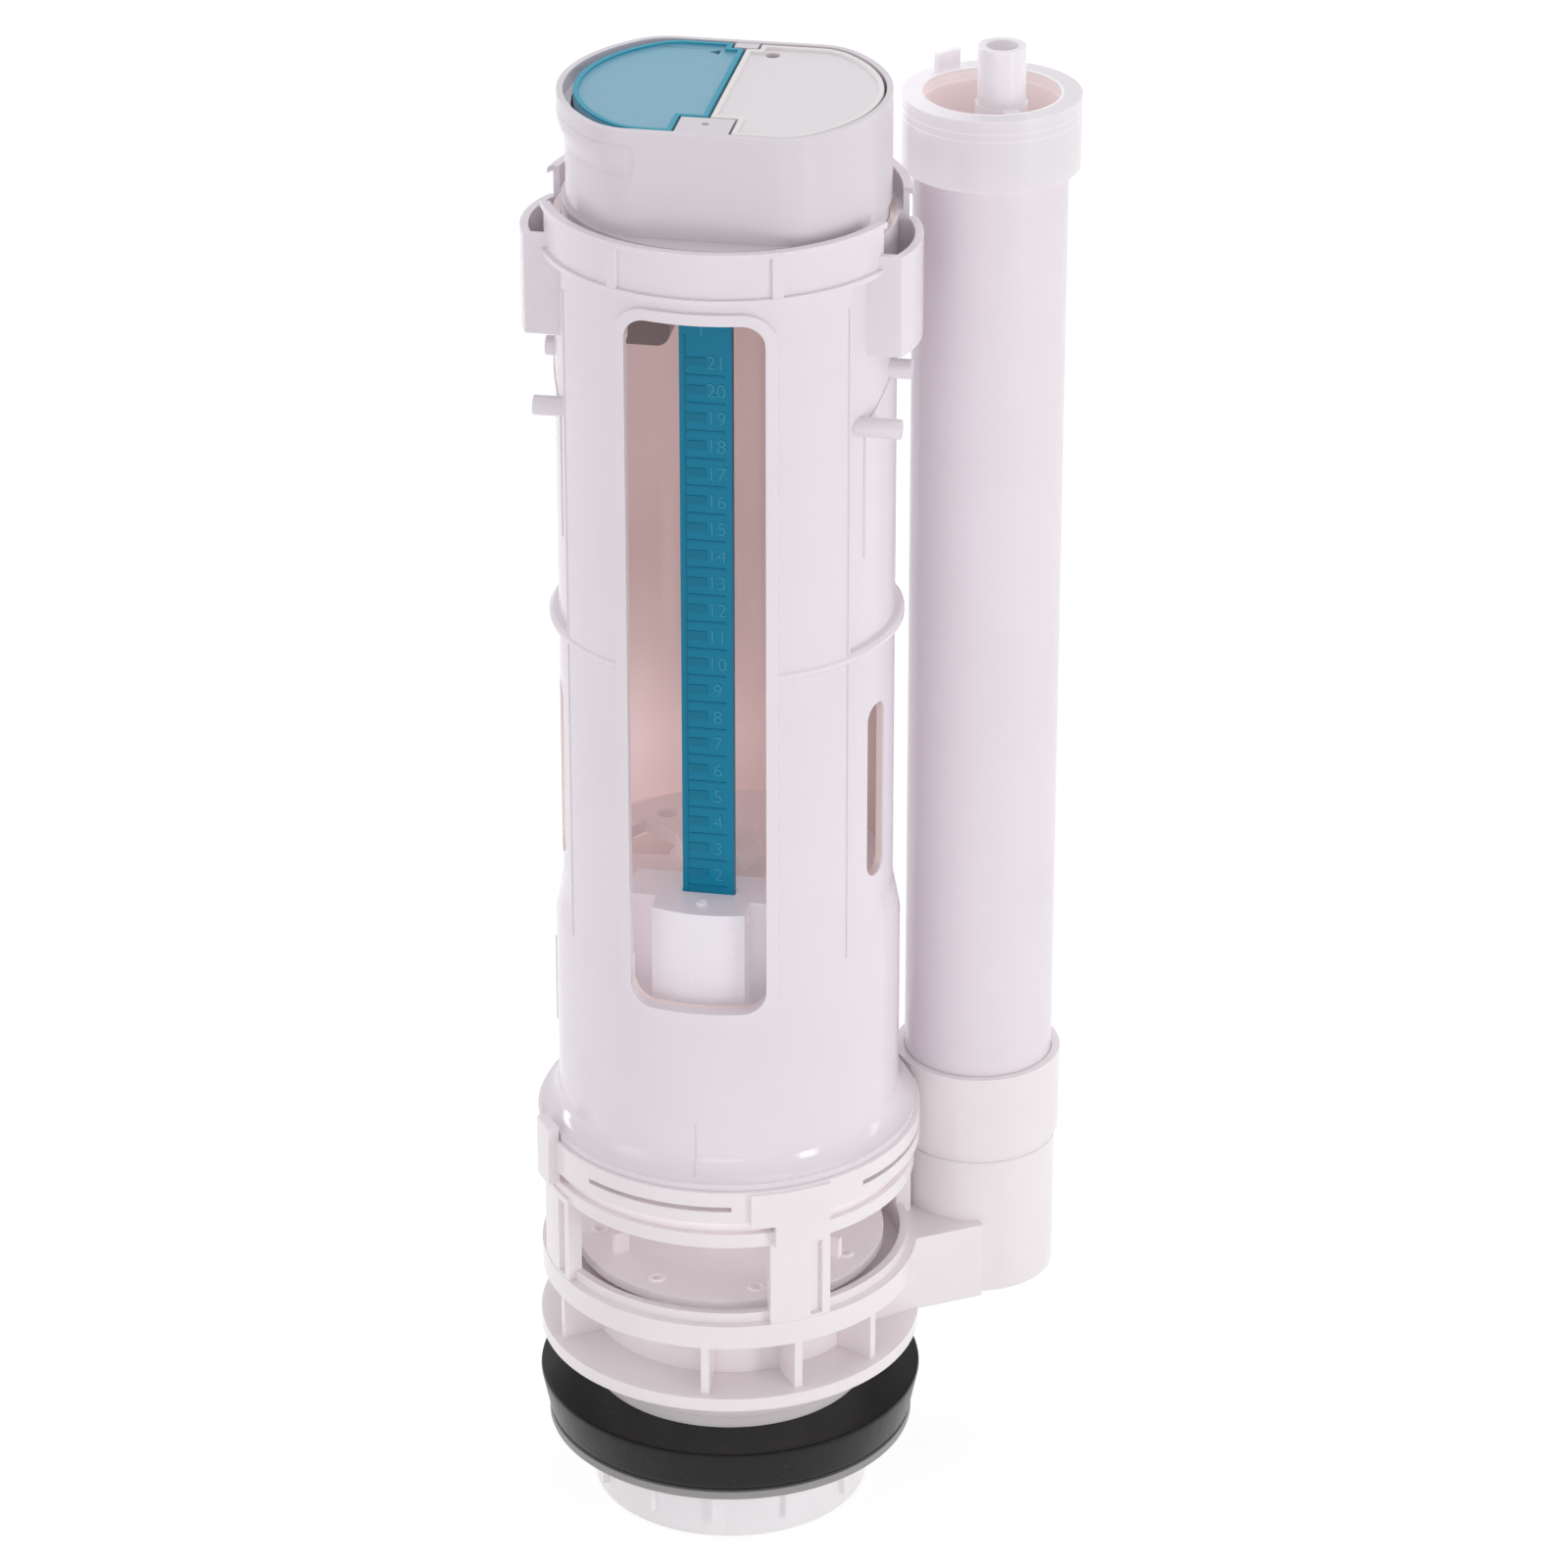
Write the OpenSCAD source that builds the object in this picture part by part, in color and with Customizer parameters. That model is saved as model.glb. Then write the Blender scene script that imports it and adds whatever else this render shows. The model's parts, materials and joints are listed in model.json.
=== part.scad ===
// Dual flush valve for a toilet tank: base with outlet shank, tower, button head,
// lever mechanism, seal stem, part-flush float on a scale rod, and overflow tube.
// Millimetres, +Z up. The origin is on the outlet axis, on the plane of the tank gasket's underside.

/* [Outlet and base] */
// Radius of the outlet shank that carries the nut
shank_r = 27.2; // [25:0.1:29]
// Radius of the outlet bore
outlet_r = 23.5; // [20:0.1:24]
// Length of the shank below the gasket
shank_len = 16; // [12:0.5:30]
// Radius of the drum above the gasket
drum_r = 31; // [29.5:0.1:33]
// Wall of the drum round the valve chamber
drum_wall = 3; // [2:0.1:4]
// Height of the flange's underside above the gasket
flange_gap = 11.2; // [6:0.1:16]
// Radius of the base flange
flange_r = 42.5; // [40:0.1:46]
// Thickness of the base flange
flange_h = 3.1; // [2:0.1:5]
// Height of the gussets between flange and basket floor
gusset_h = 12.6; // [8:0.1:18]
// Thickness of a gusset
gusset_t = 1.8; // [1.2:0.1:3]
// Outer radius of the basket
basket_r = 42; // [41.5:0.1:46]
// Height of the basket's bottom ring
ring_h = 5.6; // [4:0.1:9]
// Height of the inner lip above the bottom ring
lip_h = 2.3; // [1:0.1:4]
// Clear height of the basket windows between bottom ring and top ring
basket_gap = 26.3; // [20:0.1:36]
// Height of the basket's top ring
top_ring_h = 7.5; // [6.5:0.1:12]
// Angle that each basket post takes round the ring
post_span = 19.5; // [14:0.5:26]
// Height of the valve seat above the basket floor
seat_h = 1.4; // [0.8:0.1:3]

/* [Tank seals and nut] */
// Height of the tank gasket
gasket_h = 10.7; // [6:0.1:14]
// Outer radius of the tank gasket
gasket_r = 43; // [41:0.1:46]
// Thickness of the slip washer
washer_h = 2; // [1:0.1:3]
// Outer radius of the slip washer
washer_r = 41; // [36:0.1:43]
// Height of the shank nut
nut_h = 15.8; // [10:0.1:22]
// Wall of the shank nut
nut_wall = 3.3; // [2.5:0.1:5]
// Number of grip ribs round the nut
nut_ribs = 12; // [6:1:18]

/* [Overflow] */
// Distance of the overflow tube from the outlet axis
tube_reach = 60.2; // [60:0.1:72]
// Direction of the overflow tube, from +X towards +Y
tube_angle = 31.9; // [25:0.1:40]
// Outer radius of the overflow tube
tube_r = 16.5; // [15:0.1:17]
// Wall of the overflow tube
tube_wall = 1.9; // [1.2:0.1:2.5]
// Height of the tube's foot above the base flange
tube_foot = 39; // [32:0.5:50]
// Length of the overflow tube
tube_len = 242.5; // [150:0.5:260]
// Height of the socket's wide band
band_h = 21.4; // [14:0.1:30]
// Half width of the duct arm where it leaves the drum
arm_half = 24.4; // [20:0.1:27]
// Half width of the duct arm at the socket
arm_end_half = 18.5; // [16.5:0.1:20]
// Distance from the arm's end to the tube's axis
arm_end = 6.2; // [5.5:0.1:9]
// Wall of the duct arm and the socket
duct_wall = 2; // [1.5:0.1:3]
// Height of the cap on the tube
cap_h = 16; // [12:0.1:22]
// Outer radius of the refill nipple
nipple_r = 5.1; // [4:0.1:5.5]
// Height of the nipple above the cap
nipple_rise = 12.3; // [8:0.1:20]

/* [Tower] */
// Step from the basket's rim in to the tower's sleeve
tower_step = 4.4; // [3.6:0.1:5]
// Wall of the tower
tower_wall = 2; // [1.6:0.1:2.6]
// Height of the tower from its foot to the top of the collar
tower_h = 216; // [206:0.5:240]
// Height of the plain sleeve above the foot
sleeve_h = 48.5; // [30:0.5:60]
// Height over which the sleeve narrows to the side walls
sleeve_taper = 9.5; // [4:0.5:14]
// Height of the window's lower edge above the foot
window_foot = 41.7; // [36:0.1:60]
// Height of the window
window_h = 158.6; // [120:0.1:160]
// Width of the window
window_w = 29.6; // [24:0.1:34]
// Corner radius of the window
window_corner = 5; // [2:0.1:8]
// Height of the bead ring above the foot
bead_at = 120.4; // [90:0.1:150]
// Height of the side slots' lower ends above the foot
slot_foot = 64.6; // [55:0.1:80]
// Length of the side slots
slot_len = 40.7; // [20:0.1:46]
// Width of the side slots
slot_w = 7.7; // [5:0.1:10]
// Step from the tower's sleeve out to the collar
collar_step = 1.6; // [1.2:0.1:2.8]
// Height of the collar
collar_h = 11; // [9:0.1:13]
// Height of the side pockets
pocket_h = 22; // [14:0.1:28]
// Diameter of the side pegs
peg_d = 4.3; // [3:0.1:6]

/* [Button head] */
// Step from the tower's sleeve in to the button head
head_step = 2.8; // [2.4:0.1:4]
// Half depth of the head between its flats
head_flat = 28.9; // [28:0.1:31]
// Radius of the head's rounded corners
head_corner = 12; // [8:0.5:16]
// How far the head's left side stands in below its rim
head_skew = 1.6; // [0:0.1:2]
// Height of the head's rim on that side
rim_drop = 4.5; // [3:0.1:7]
// Height of the head above the collar
head_rise = 22; // [20:0.1:30]
// Depth of the head's skirt in the tower
head_depth = 17; // [16:0.1:20]
// Wall of the head
head_wall = 1.4; // [1.2:0.1:2.6]
// Travel of both buttons
press = 5; // [3:0.1:5]
// Depth of the button tops below the head's rim
button_drop = 0.1; // [0:0.1:2]

/* [Levers] */
// Distance of the lever pivots from the middle
pivot_x = 13; // [12:0.1:15]
// Height of the lever pivots above the head's floor
pivot_rise = 11; // [10:0.1:12]
// Radius of the lever pins
pin_r = 1.5; // [1.2:0.1:2]
// Thickness of the levers
lever_t = 4; // [3:0.1:4.5]

/* [Flush parts] */
// Radius of the lift stem
stem_r = 3; // [2.6:0.1:4]
// Sideways place of the lift stem
stem_x = -2; // [-3:0.1:0]
// Radius of the seal plate
plate_r = 34.5; // [30:0.1:35.5]
// Thickness of the seal
seal_t = 2; // [1.5:0.1:3]
// Radius of the seal
seal_r = 31; // [30:0.1:33]
// Height of the main float
main_float_h = 34; // [20:0.5:36]
// Radius of the main float
main_float_r = 26; // [18:0.1:30]
// Width of the scale rod
rod_w = 11.2; // [8:0.1:12]
// Thickness of the scale rod
rod_t = 2.5; // [2:0.1:3]
// Sideways place of the scale rod
rod_x = -0.5; // [-2.5:0.1:0.5]
// Distance of the scale rod in front of the axis
rod_front = 19.5; // [19:0.1:21]
// Height of the part-flush float
float_h = 39; // [24:0.5:40]
// Height of the part-flush float's top above the tower's foot
float_at = 62; // [60:0.1:70]

/* [Clearances] */
// Gap round pieces that slide in each other
slide_gap = 0.3; // [0.2:0.05:0.5]
// Gap between a pin and its bore
pin_gap = 0.05; // [0.02:0.01:0.1]
// Gap round the buttons
button_gap = 0.5; // [0.4:0.05:0.8]
// Gap round pieces that are pushed into a seat
seat_gap = 0.1; // [0.05:0.01:0.2]

/* [Hidden] */
$fn = 96;
eps = 0.05;
tower_r = basket_r - tower_step;
collar_r = tower_r + collar_step;
head_r = tower_r - head_step;
flange_z = gasket_h + flange_gap;
floor_z = flange_z + flange_h + gusset_h;
floor_t = 1.9;
ring_top = floor_z + ring_h;
lip_r = basket_r - 2;
lip_t = 1.8;
top_ring_z = ring_top + basket_gap;
foot_z = top_ring_z + top_ring_h;
top_lip_z = top_ring_z - 6.8;
chamber_r = drum_r - drum_wall;
seat_r = chamber_r - 2;
seat_lip = 2.5;
seat_z = floor_z + floor_t + seat_h;
basket_wall = 4.1;
basket_in = basket_r + 0.4 - basket_wall;
post_angles = [-147.5, -57.5, 32.5, 122.5];
gusset_angles = [-147.5, -87.5, -57.5, -27.5, 92.5, 122.5, 152.5];
bay_angles = [for (a = post_angles) a + 45];
twist = 20;
groove_z = top_ring_z + 2.3;
groove_h = 2.4;
groove_r = basket_in + 2.1;
lug_span = 24;
tube_c = [tube_reach * cos(tube_angle), tube_reach * sin(tube_angle)];
socket_r = tube_r + 1.1;
band_r = tube_r + duct_wall;
duct_z = flange_z + flange_h;
way_half = 11;
tube_z = flange_z + tube_foot;
seal_seat_h = 1.5;
band_top = tube_z - 1.5 - seal_seat_h + band_h;
tube_top = tube_z + tube_len;
cap_wall = 2.5;
cap_r = tube_r + seat_gap + cap_wall;
cap_top = tube_top + 2.5;
nipple_c = [2.8, -5.6];
inner_r = tower_r - 1.4 - tower_wall;
core_r = tower_r - 1.6;
panel_half = 54;
flare_r = basket_r - 0.6;
flare_fillet = 5.5;
flare_h = 7;
ledge_span = 24;
spigot_h = 6;
pocket_wall = 1.8;
collar_z = foot_z + tower_h - collar_h;
collar_top = foot_z + tower_h;
head_bottom = collar_top - head_depth;
head_floor = 2;
head_top = collar_top + head_rise;
pivot_z = head_bottom + head_floor + pivot_rise;
lever_top = pivot_z + lever_t / 2;
tilt = 25;
lift_gap = 0.3;
fork_reach = 4;
rod_fork_reach = 2.5;
rod_fork_half = 5;
inner_cheek = -4.9;
cheek_t = 1.7;
head_disc_r = 7;
head_disc_h = 3;
button_top = head_top - button_drop;
rim_h = 0.8;
plate_h = 1.8;
button_under = button_top - rim_h - plate_h;
leg_gap = 0.5;
leg_t = 1.2;
leg_x = pivot_x + (press + 0.01) / tan(tilt) + 0.07;
post_place = [20, 16];
post_r = 2.2;
boss_h = 6;
spring_z = head_bottom + head_floor + boss_h;
tab_w = 11.2;
tab_d = 10.6;
back_tab_w = 5;
back_tab_d = 3;
seal_z = seat_z + seat_gap;
plate_z = seal_z + seal_t;
plate_t = 2.4;
retainer_h = 2.5;
main_float_z = plate_z + plate_t + 12;
float_top = foot_z + float_at;
float_r = inner_r - 2.6;
float_x = -1.1;
spider_z = float_top - 4.8;
spider_t = 3;
spider_front = -11;
rod_foot = float_top - float_h + 4;
rod_y = -rod_front;
tang_w = 4;

white = "#ebe6ec";
pink_white = "#ece4e4";

// Flat ring
module ring(r_out, r_in, h) {
    difference() {
        cylinder(r = r_out, h = h);
        translate([0, 0, -eps])
            cylinder(r = r_in, h = h + 2 * eps);
    }
}

// Piece of a round wall, centred on an angle
module arc_wall(r_in, r_out, mid, span, h) {
    rotate([0, 0, mid - span / 2])
        rotate_extrude(angle = span)
            translate([r_in, 0])
                square([r_out - r_in, h]);
}

// Rectangle with round corners, centred
module round_rect(w, h, r) {
    square([w - 2 * r, h], center = true);
    square([w, h - 2 * r], center = true);
    for (x = [-1, 1], y = [-1, 1])
        translate([x * (w / 2 - r), y * (h / 2 - r)])
            circle(r = r);
}

// Plan of the duct arm, shrunk by an inset: wide at the drum, then with parallel walls
module arm_outline(inset) {
    bend = tube_reach - 22;
    near = arm_half - inset;
    far = arm_end_half - inset;
    tail = tube_reach - arm_end - inset;
    polygon([
        [0, near],
        [bend, far],
        [tail, far],
        [tail, -far],
        [bend, -far],
        [0, -near]
    ]);
}

// Mirrored copies left and right
module both_sides() {
    children();
    mirror([1, 0, 0])
        children();
}

// Basket post with a narrow groove down its face
module basket_post(angle) {
    low = ring_top - 1;
    groove_span = 3.9;
    groove_at = angle + 5.1;
    difference() {
        translate([0, 0, low])
            arc_wall(basket_in + 0.2, basket_r - 0.2, angle, post_span, top_lip_z + 1 - low);
        translate([0, 0, ring_top + 0.6])
            arc_wall(basket_r - 1.5, basket_r + 1, groove_at, groove_span, basket_gap - 8);
    }
}

// Top ring of the basket with its inner groove, slits and entry notches
module basket_top() {
    step_h = 3.3;
    difference() {
        rotate_extrude()
            polygon([
                [basket_in, top_lip_z],
                [basket_r - 0.8, top_lip_z],
                [basket_r - 0.8, top_lip_z + step_h],
                [basket_r - 2.2, top_lip_z + step_h],
                [basket_r - 2.2, top_ring_z],
                [basket_r + 0.4, top_ring_z],
                [basket_r + 0.4, foot_z],
                [basket_in, foot_z],
                [basket_in, groove_z + groove_h],
                [groove_r, groove_z + groove_h],
                [groove_r, groove_z],
                [basket_in, groove_z]
            ]);
        for (a = bay_angles) {
            translate([0, 0, groove_z + 0.6])
                arc_wall(basket_in + 1, basket_r + 2, a, 47, 1.1);
            translate([0, 0, groove_z + 0.3])
                arc_wall(basket_in - 1, groove_r - 0.1, a - twist, lug_span + 3, top_ring_h);
        }
    }
}

// Key blocks on the outside of the top ring
module basket_keys() {
    block_t = 1.4;
    translate([0, 0, top_ring_z - 1])
        arc_wall(basket_r - 0.8, basket_r + block_t, post_angles[1] - 3.6, 24.4, top_ring_h + 0.7);
    translate([0, 0, top_lip_z + 0.3])
        arc_wall(basket_r - 1.3, basket_r + block_t - 0.2, post_angles[1], 17, 7);
    for (a = [post_angles[0], post_angles[3]])
        translate([0, 0, top_ring_z - 3])
            arc_wall(flare_r + slide_gap + 0.1, basket_r + block_t + 1, a, 9, top_ring_h + 6.5);
}

// Revolved body of the base: shank, drum, flange, basket floor, seat and bottom ring
module base_body() {
    rotate_extrude()
        polygon([
            [outlet_r, -shank_len],
            [shank_r, -shank_len],
            [shank_r, gasket_h],
            [drum_r, gasket_h],
            [drum_r, flange_z],
            [flange_r, flange_z],
            [flange_r, duct_z],
            [drum_r, duct_z],
            [drum_r, floor_z],
            [basket_r, floor_z],
            [basket_r, ring_top],
            [lip_r, ring_top],
            [lip_r, ring_top + lip_h],
            [lip_r - lip_t, ring_top + lip_h],
            [lip_r - lip_t, floor_z + floor_t],
            [seat_r + seat_lip, floor_z + floor_t],
            [seat_r + seat_lip, seat_z],
            [seat_r, seat_z],
            [seat_r, floor_z],
            [chamber_r, floor_z],
            [chamber_r, duct_z],
            [outlet_r, duct_z]
        ]);
}

// Arm and socket of the overflow, as a closed block outside the drum
module overflow_block() {
    low = duct_z - 0.4;
    band_low = band_top - band_h;
    difference() {
        rotate([0, 0, tube_angle])
            translate([0, 0, low])
                linear_extrude(ring_top - 0.3 - low)
                    arm_outline(0);
        translate([0, 0, low - 1])
            cylinder(r = drum_r - 1, h = floor_z + 1.5 - low);
        translate([0, 0, floor_z + 0.4])
            cylinder(r = lip_r + 0.6, h = ring_h);
    }
    translate([tube_c[0], tube_c[1], 0])
        rotate_extrude()
            polygon([
                [0, low],
                [socket_r, low],
                [socket_r, band_low],
                [band_r, band_low + 2],
                [band_r, band_top],
                [0, band_top]
            ]);
}

// Way of the water from the overflow socket into the drum
module overflow_way() {
    low = duct_z + duct_wall;
    rotate([0, 0, tube_angle]) {
        translate([0, 0, low])
            linear_extrude(floor_z - duct_wall - low)
                arm_outline(duct_wall);
        translate([0, -way_half, low])
            cube([tube_reach, 2 * way_half, floor_z - duct_wall - low]);
        difference() {
            translate([0, 0, low])
                linear_extrude(ring_top - duct_wall - low)
                    arm_outline(duct_wall);
            cylinder(r = basket_r + 1.5, h = top_ring_z);
        }
        translate([tube_reach, 0, low])
            cylinder(r = socket_r - duct_wall, h = band_top);
        translate([tube_reach, 0, tube_z - seal_seat_h])
            cylinder(r = tube_r + seat_gap, h = band_h + 10);
    }
}

module base_housing() {
    color(pink_white)
        difference() {
            union() {
                base_body();
                for (a = gusset_angles)
                    rotate([0, 0, a])
                        translate([drum_r - 1, -gusset_t / 2, duct_z - 0.5])
                            cube([basket_r - drum_r - 0.8, gusset_t, gusset_h + 1]);
                overflow_block();
                for (a = post_angles)
                    basket_post(a);
                basket_top();
                basket_keys();
            }
            overflow_way();
        }
}

module shank_nut() {
    nut_r = shank_r + slide_gap + nut_wall;
    top = -washer_h - seat_gap;
    rib = 2.4;
    rib_low = 3.6;
    rib_out = 1.5;
    color(pink_white)
        translate([0, 0, top - nut_h])
            difference() {
                union() {
                    cylinder(r = nut_r, h = nut_h);
                    for (i = [0:nut_ribs - 1])
                        rotate([0, 0, i * 360 / nut_ribs - 85])
                            translate([nut_r - 1, -rib / 2, rib_low])
                                cube([rib_out + 1, rib, nut_h - rib_low - 0.6]);
                }
                translate([0, 0, -1])
                    cylinder(r = shank_r + slide_gap, h = nut_h + 2);
            }
}

module slip_washer() {
    color("#8d898c")
        translate([0, 0, -washer_h])
            ring(washer_r, shank_r + seat_gap, washer_h);
}

module tank_gasket() {
    draft = 1.8;
    round_low = 2;
    color("#232325")
        rotate_extrude()
            polygon(concat(
                [[shank_r + seat_gap, 0], [shank_r + seat_gap, gasket_h], [gasket_r, gasket_h]],
                [for (a = [0:-15:-90])
                    [gasket_r - draft - round_low * (1 - cos(a)), round_low * (1 + sin(a))]]
            ));
}

module overflow_tube() {
    color("#efe7f0")
        translate([tube_c[0], tube_c[1], tube_z])
            ring(tube_r, tube_r - tube_wall, tube_len);
}

module tube_seal() {
    color("#2b2b2d")
        translate([tube_c[0], tube_c[1], tube_z - seal_seat_h])
            ring(tube_r, tube_r - tube_wall, seal_seat_h);
}

module overflow_cap() {
    mouth_r = tube_r - 1.6;
    web_t = 4;
    web_h = 8;
    web_angle = atan2(nipple_c[1], nipple_c[0]);
    reach = norm(nipple_c);
    color("#e6e4e8", 0.8)
        translate([tube_c[0], tube_c[1], 0]) {
            difference() {
                translate([0, 0, cap_top - cap_h])
                    cylinder(r = cap_r, h = cap_h);
                translate([0, 0, cap_top - cap_h - 1])
                    cylinder(r = tube_r + seat_gap, h = tube_top - cap_top + cap_h + 1);
                cylinder(r = mouth_r, h = cap_top + 1);
            }
            difference() {
                union() {
                    translate([nipple_c[0], nipple_c[1], cap_top - web_h - 2])
                        cylinder(r = nipple_r + 0.5, h = web_h + 2);
                    translate([nipple_c[0], nipple_c[1], cap_top - 1])
                        cylinder(r = nipple_r, h = nipple_rise + 1);
                    rotate([0, 0, web_angle])
                        translate([reach, -web_t / 2, cap_top - web_h])
                            cube([mouth_r - reach - web_h / 2, web_t, web_h - 1]);
                }
                translate([nipple_c[0], nipple_c[1], cap_top - web_h - 3])
                    cylinder(r = nipple_r - 1.7, h = web_h + nipple_rise + 5);
            }
            translate([0, 0, tube_top])
                arc_wall(mouth_r - web_h / 2 - 0.5, mouth_r + 0.5, web_angle, 16, cap_top - tube_top);
            translate([0, 0, cap_top - eps])
                arc_wall(mouth_r + 0.3, mouth_r + 1.8, 135, 22, 4.5);
        }
}

// Collar with a rim at its lower and upper edge
module collar_band() {
    sunk = 0.9;
    rotate_extrude()
        polygon([
            [inner_r - 1, collar_z],
            [collar_r, collar_z],
            [collar_r, collar_z + 1.1],
            [collar_r - sunk, collar_z + 1.1],
            [collar_r - sunk, collar_top - 1.2],
            [collar_r - 0.2, collar_top - 1.2],
            [collar_r - 0.2, collar_top],
            [inner_r - 1, collar_top]
        ]);
}

// Round body of the tower with foot flange, flare, sleeve, side fin and collar
module tower_body() {
    fin_t = 1.6;
    fin_out = 1.5;
    fin_foot = 16;
    fin_h = 20.7;
    bar_at = 26.4;
    flare_z = foot_z + flare_h;
    sleeve_top = foot_z + sleeve_h;
    flare_c = [tower_r + flare_fillet, flare_z];
    stop = acos((flare_c[0] - flare_r) / flare_fillet);
    translate([0, 0, foot_z - spigot_h])
        cylinder(r = basket_in - slide_gap - 0.1, h = spigot_h + eps);
    for (a = bay_angles)
        translate([0, 0, groove_z + 0.5])
            arc_wall(inner_r, basket_in + 1.6, a, lug_span, groove_h - 1);
    rotate_extrude()
        polygon(concat(
            [[inner_r - 1, foot_z], [flare_r, foot_z]],
            [for (a = [stop:-stop / 8:0.1]) flare_c - flare_fillet * [cos(a), sin(a)]],
            [[tower_r, flare_z], [tower_r, sleeve_top], [core_r - 0.1, sleeve_top + sleeve_taper],
                [inner_r - 1, sleeve_top + sleeve_taper]]
        ));
    translate([0, 0, foot_z])
        cylinder(r = core_r, h = tower_h);
    for (a = [-90, 90])
        translate([0, 0, sleeve_top - 2])
            arc_wall(inner_r - 1, tower_r - eps, a, 2 * panel_half, collar_z - sleeve_top + 4);
    translate([0, 0, foot_z + bead_at])
        rotate_extrude()
            polygon([
                [core_r - 1, -1.4],
                [core_r + 1.3, -1.1],
                [core_r + 2, -0.4],
                [core_r + 2, 0.4],
                [core_r + 1.3, 1.1],
                [core_r - 1, 1.4]
            ]);
    rotate([0, 0, 177])
        translate([tower_r - 1, -fin_t / 2, foot_z + fin_foot])
            cube([1 + fin_out, fin_t, fin_h]);
    difference() {
        union() {
            collar_band();
            for (a = [-1, 1])
                translate([0, 0, collar_z + 0.5])
                    arc_wall(collar_r - 2, collar_r - 0.1, -90 + a * bar_at, 3.4, collar_h - 1);
        }
        both_sides()
            translate([0, 0, collar_z - 1])
                linear_extrude(collar_h + 2)
                    difference() {
                        pocket_outline(pocket_wall - eps);
                        circle(r = core_r - 0.3);
                    }
    }
}

// Raised frame round the window, and the window itself
module window_shape(grow, depth) {
    mid = foot_z + window_foot + window_h / 2;
    translate([0, -depth, mid])
        rotate([90, 0, 0])
            linear_extrude(tower_r + 10 - depth)
                round_rect(window_w + 2 * grow, window_h + 2 * grow, window_corner + grow);
}

module window_frame() {
    intersection() {
        window_shape(2.4, 15);
        translate([0, 0, foot_z])
            ring(tower_r + 0.9, inner_r + 0.5, tower_h);
    }
}

// Outline of a side pocket, shrunk by an inset
module pocket_outline(inset) {
    bow = 26.4;
    bow_y = -4.5;
    front = -15.8;
    back = 8;
    intersection() {
        translate([collar_r + 3 - bow, bow_y])
            circle(r = bow - inset);
        translate([inner_r - 8, front + inset])
            square([30, back - front - 2 * inset]);
    }
}

module tower_pocket() {
    translate([0, 0, collar_z - pocket_h + 4])
        linear_extrude(pocket_h)
            difference() {
                pocket_outline(0);
                pocket_outline(pocket_wall);
            }
}

// Two round pegs on one side, out to a reach
module tower_pegs(reach) {
    for (p = [[-17.6, 171.7], [-4.1, 179.7]])
        translate([inner_r - 6, p[0], foot_z + p[1]])
            rotate([0, 90, 0])
                cylinder(d = peg_d, h = reach - inner_r + 6);
}

module side_slot() {
    rotate([0, 0, -17.5])
        translate([inner_r - 4, 0, foot_z + slot_foot + slot_len / 2])
            rotate([90, 0, 90])
                linear_extrude(12)
                    round_rect(slot_w, slot_len, slot_w / 2 - 0.4);
}

module tower() {
    color(white) {
        difference() {
            union() {
                tower_body();
                window_frame();
                both_sides()
                    tower_pocket();
                tower_pegs(collar_r + 1);
                mirror([1, 0, 0])
                    tower_pegs(collar_r - 1.6);
            }
            translate([0, 0, foot_z - spigot_h - 1])
                cylinder(r = inner_r, h = tower_h + spigot_h + 2);
            for (a = [-90, 90])
                translate([0, 0, foot_z + sleeve_h + 3])
                    arc_wall(inner_r - 1, tower_r - tower_wall, a, 2 * panel_half - 8,
                        head_bottom - foot_z - sleeve_h - 8);
            translate([0, 0, collar_top - 5])
                cylinder(r = collar_r - 2.2, h = 6);
            window_shape(0, 15);
            both_sides()
                side_slot();
        }
        for (a = [0, 90, 180], z = [head_bottom, spider_z])
            translate([0, 0, z - 2])
                arc_wall(inner_r - 1.4, (a == 90 ? tower_r - tower_wall : inner_r) + 0.6, a, ledge_span, 2);
    }
}

module guide_spider() {
    hub_r = 9.4;
    hub_h = 8;
    color("#e4dcdf")
        translate([0, 0, spider_z])
            difference() {
                union() {
                    intersection() {
                        cylinder(r = inner_r - seat_gap, h = spider_t);
                        translate([-inner_r, spider_front, 0])
                            cube([2 * inner_r, 2 * inner_r, spider_t]);
                    }
                    translate([stem_x, 0, 0])
                        cylinder(r = hub_r, h = hub_h, $fn = 8);
                }
                translate([stem_x, 0, -1])
                    cylinder(r = stem_r + slide_gap, h = hub_h + 2);
                for (x = [-1, 1]) {
                    translate([x * 17, 19.3, -1])
                        cylinder(r = 2.4, h = spider_t + 2);
                    translate([0, 0, -1])
                        arc_wall(13, 26, 90 + x * 75, 40, spider_t + 2);
                }
            }
}

// Quarter of the head's plan with a radius, a half depth and a corner radius
function head_quarter(r, flat, corner) =
    let (cy = flat - corner)
    let (cx = sqrt((r - corner) * (r - corner) - cy * cy))
    let (turn = atan2(cy, cx))
    concat(
        [for (i = [0:9]) r * [cos(turn * i / 10), sin(turn * i / 10)]],
        [for (a = [turn:(90 - turn) / 8:90.01]) [cx, cy] + corner * [cos(a), sin(a)]]
    );

// Plan of the head, shrunk by an inset, with its left side further in by the skew
module head_outline(inset, skew = head_skew) {
    flat = head_flat - inset;
    corner = head_corner - inset;
    right = head_quarter(head_r - inset, flat, corner);
    left = head_quarter(head_r - inset - skew, flat, corner);
    last = len(right) - 1;
    polygon(concat(
        right,
        [for (i = [last:-1:0]) [-left[i][0], left[i][1]]],
        [for (i = [1:last]) -left[i]],
        [for (i = [last:-1:1]) [right[i][0], -right[i][1]]]
    ));
}

// Upright plate that holds one end of a lever pin
module pin_cheek(x, y0, y1) {
    half = 3;
    translate([x - half, y0, head_bottom])
        cube([2 * half, y1 - y0, pivot_z - head_bottom + half]);
}

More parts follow.
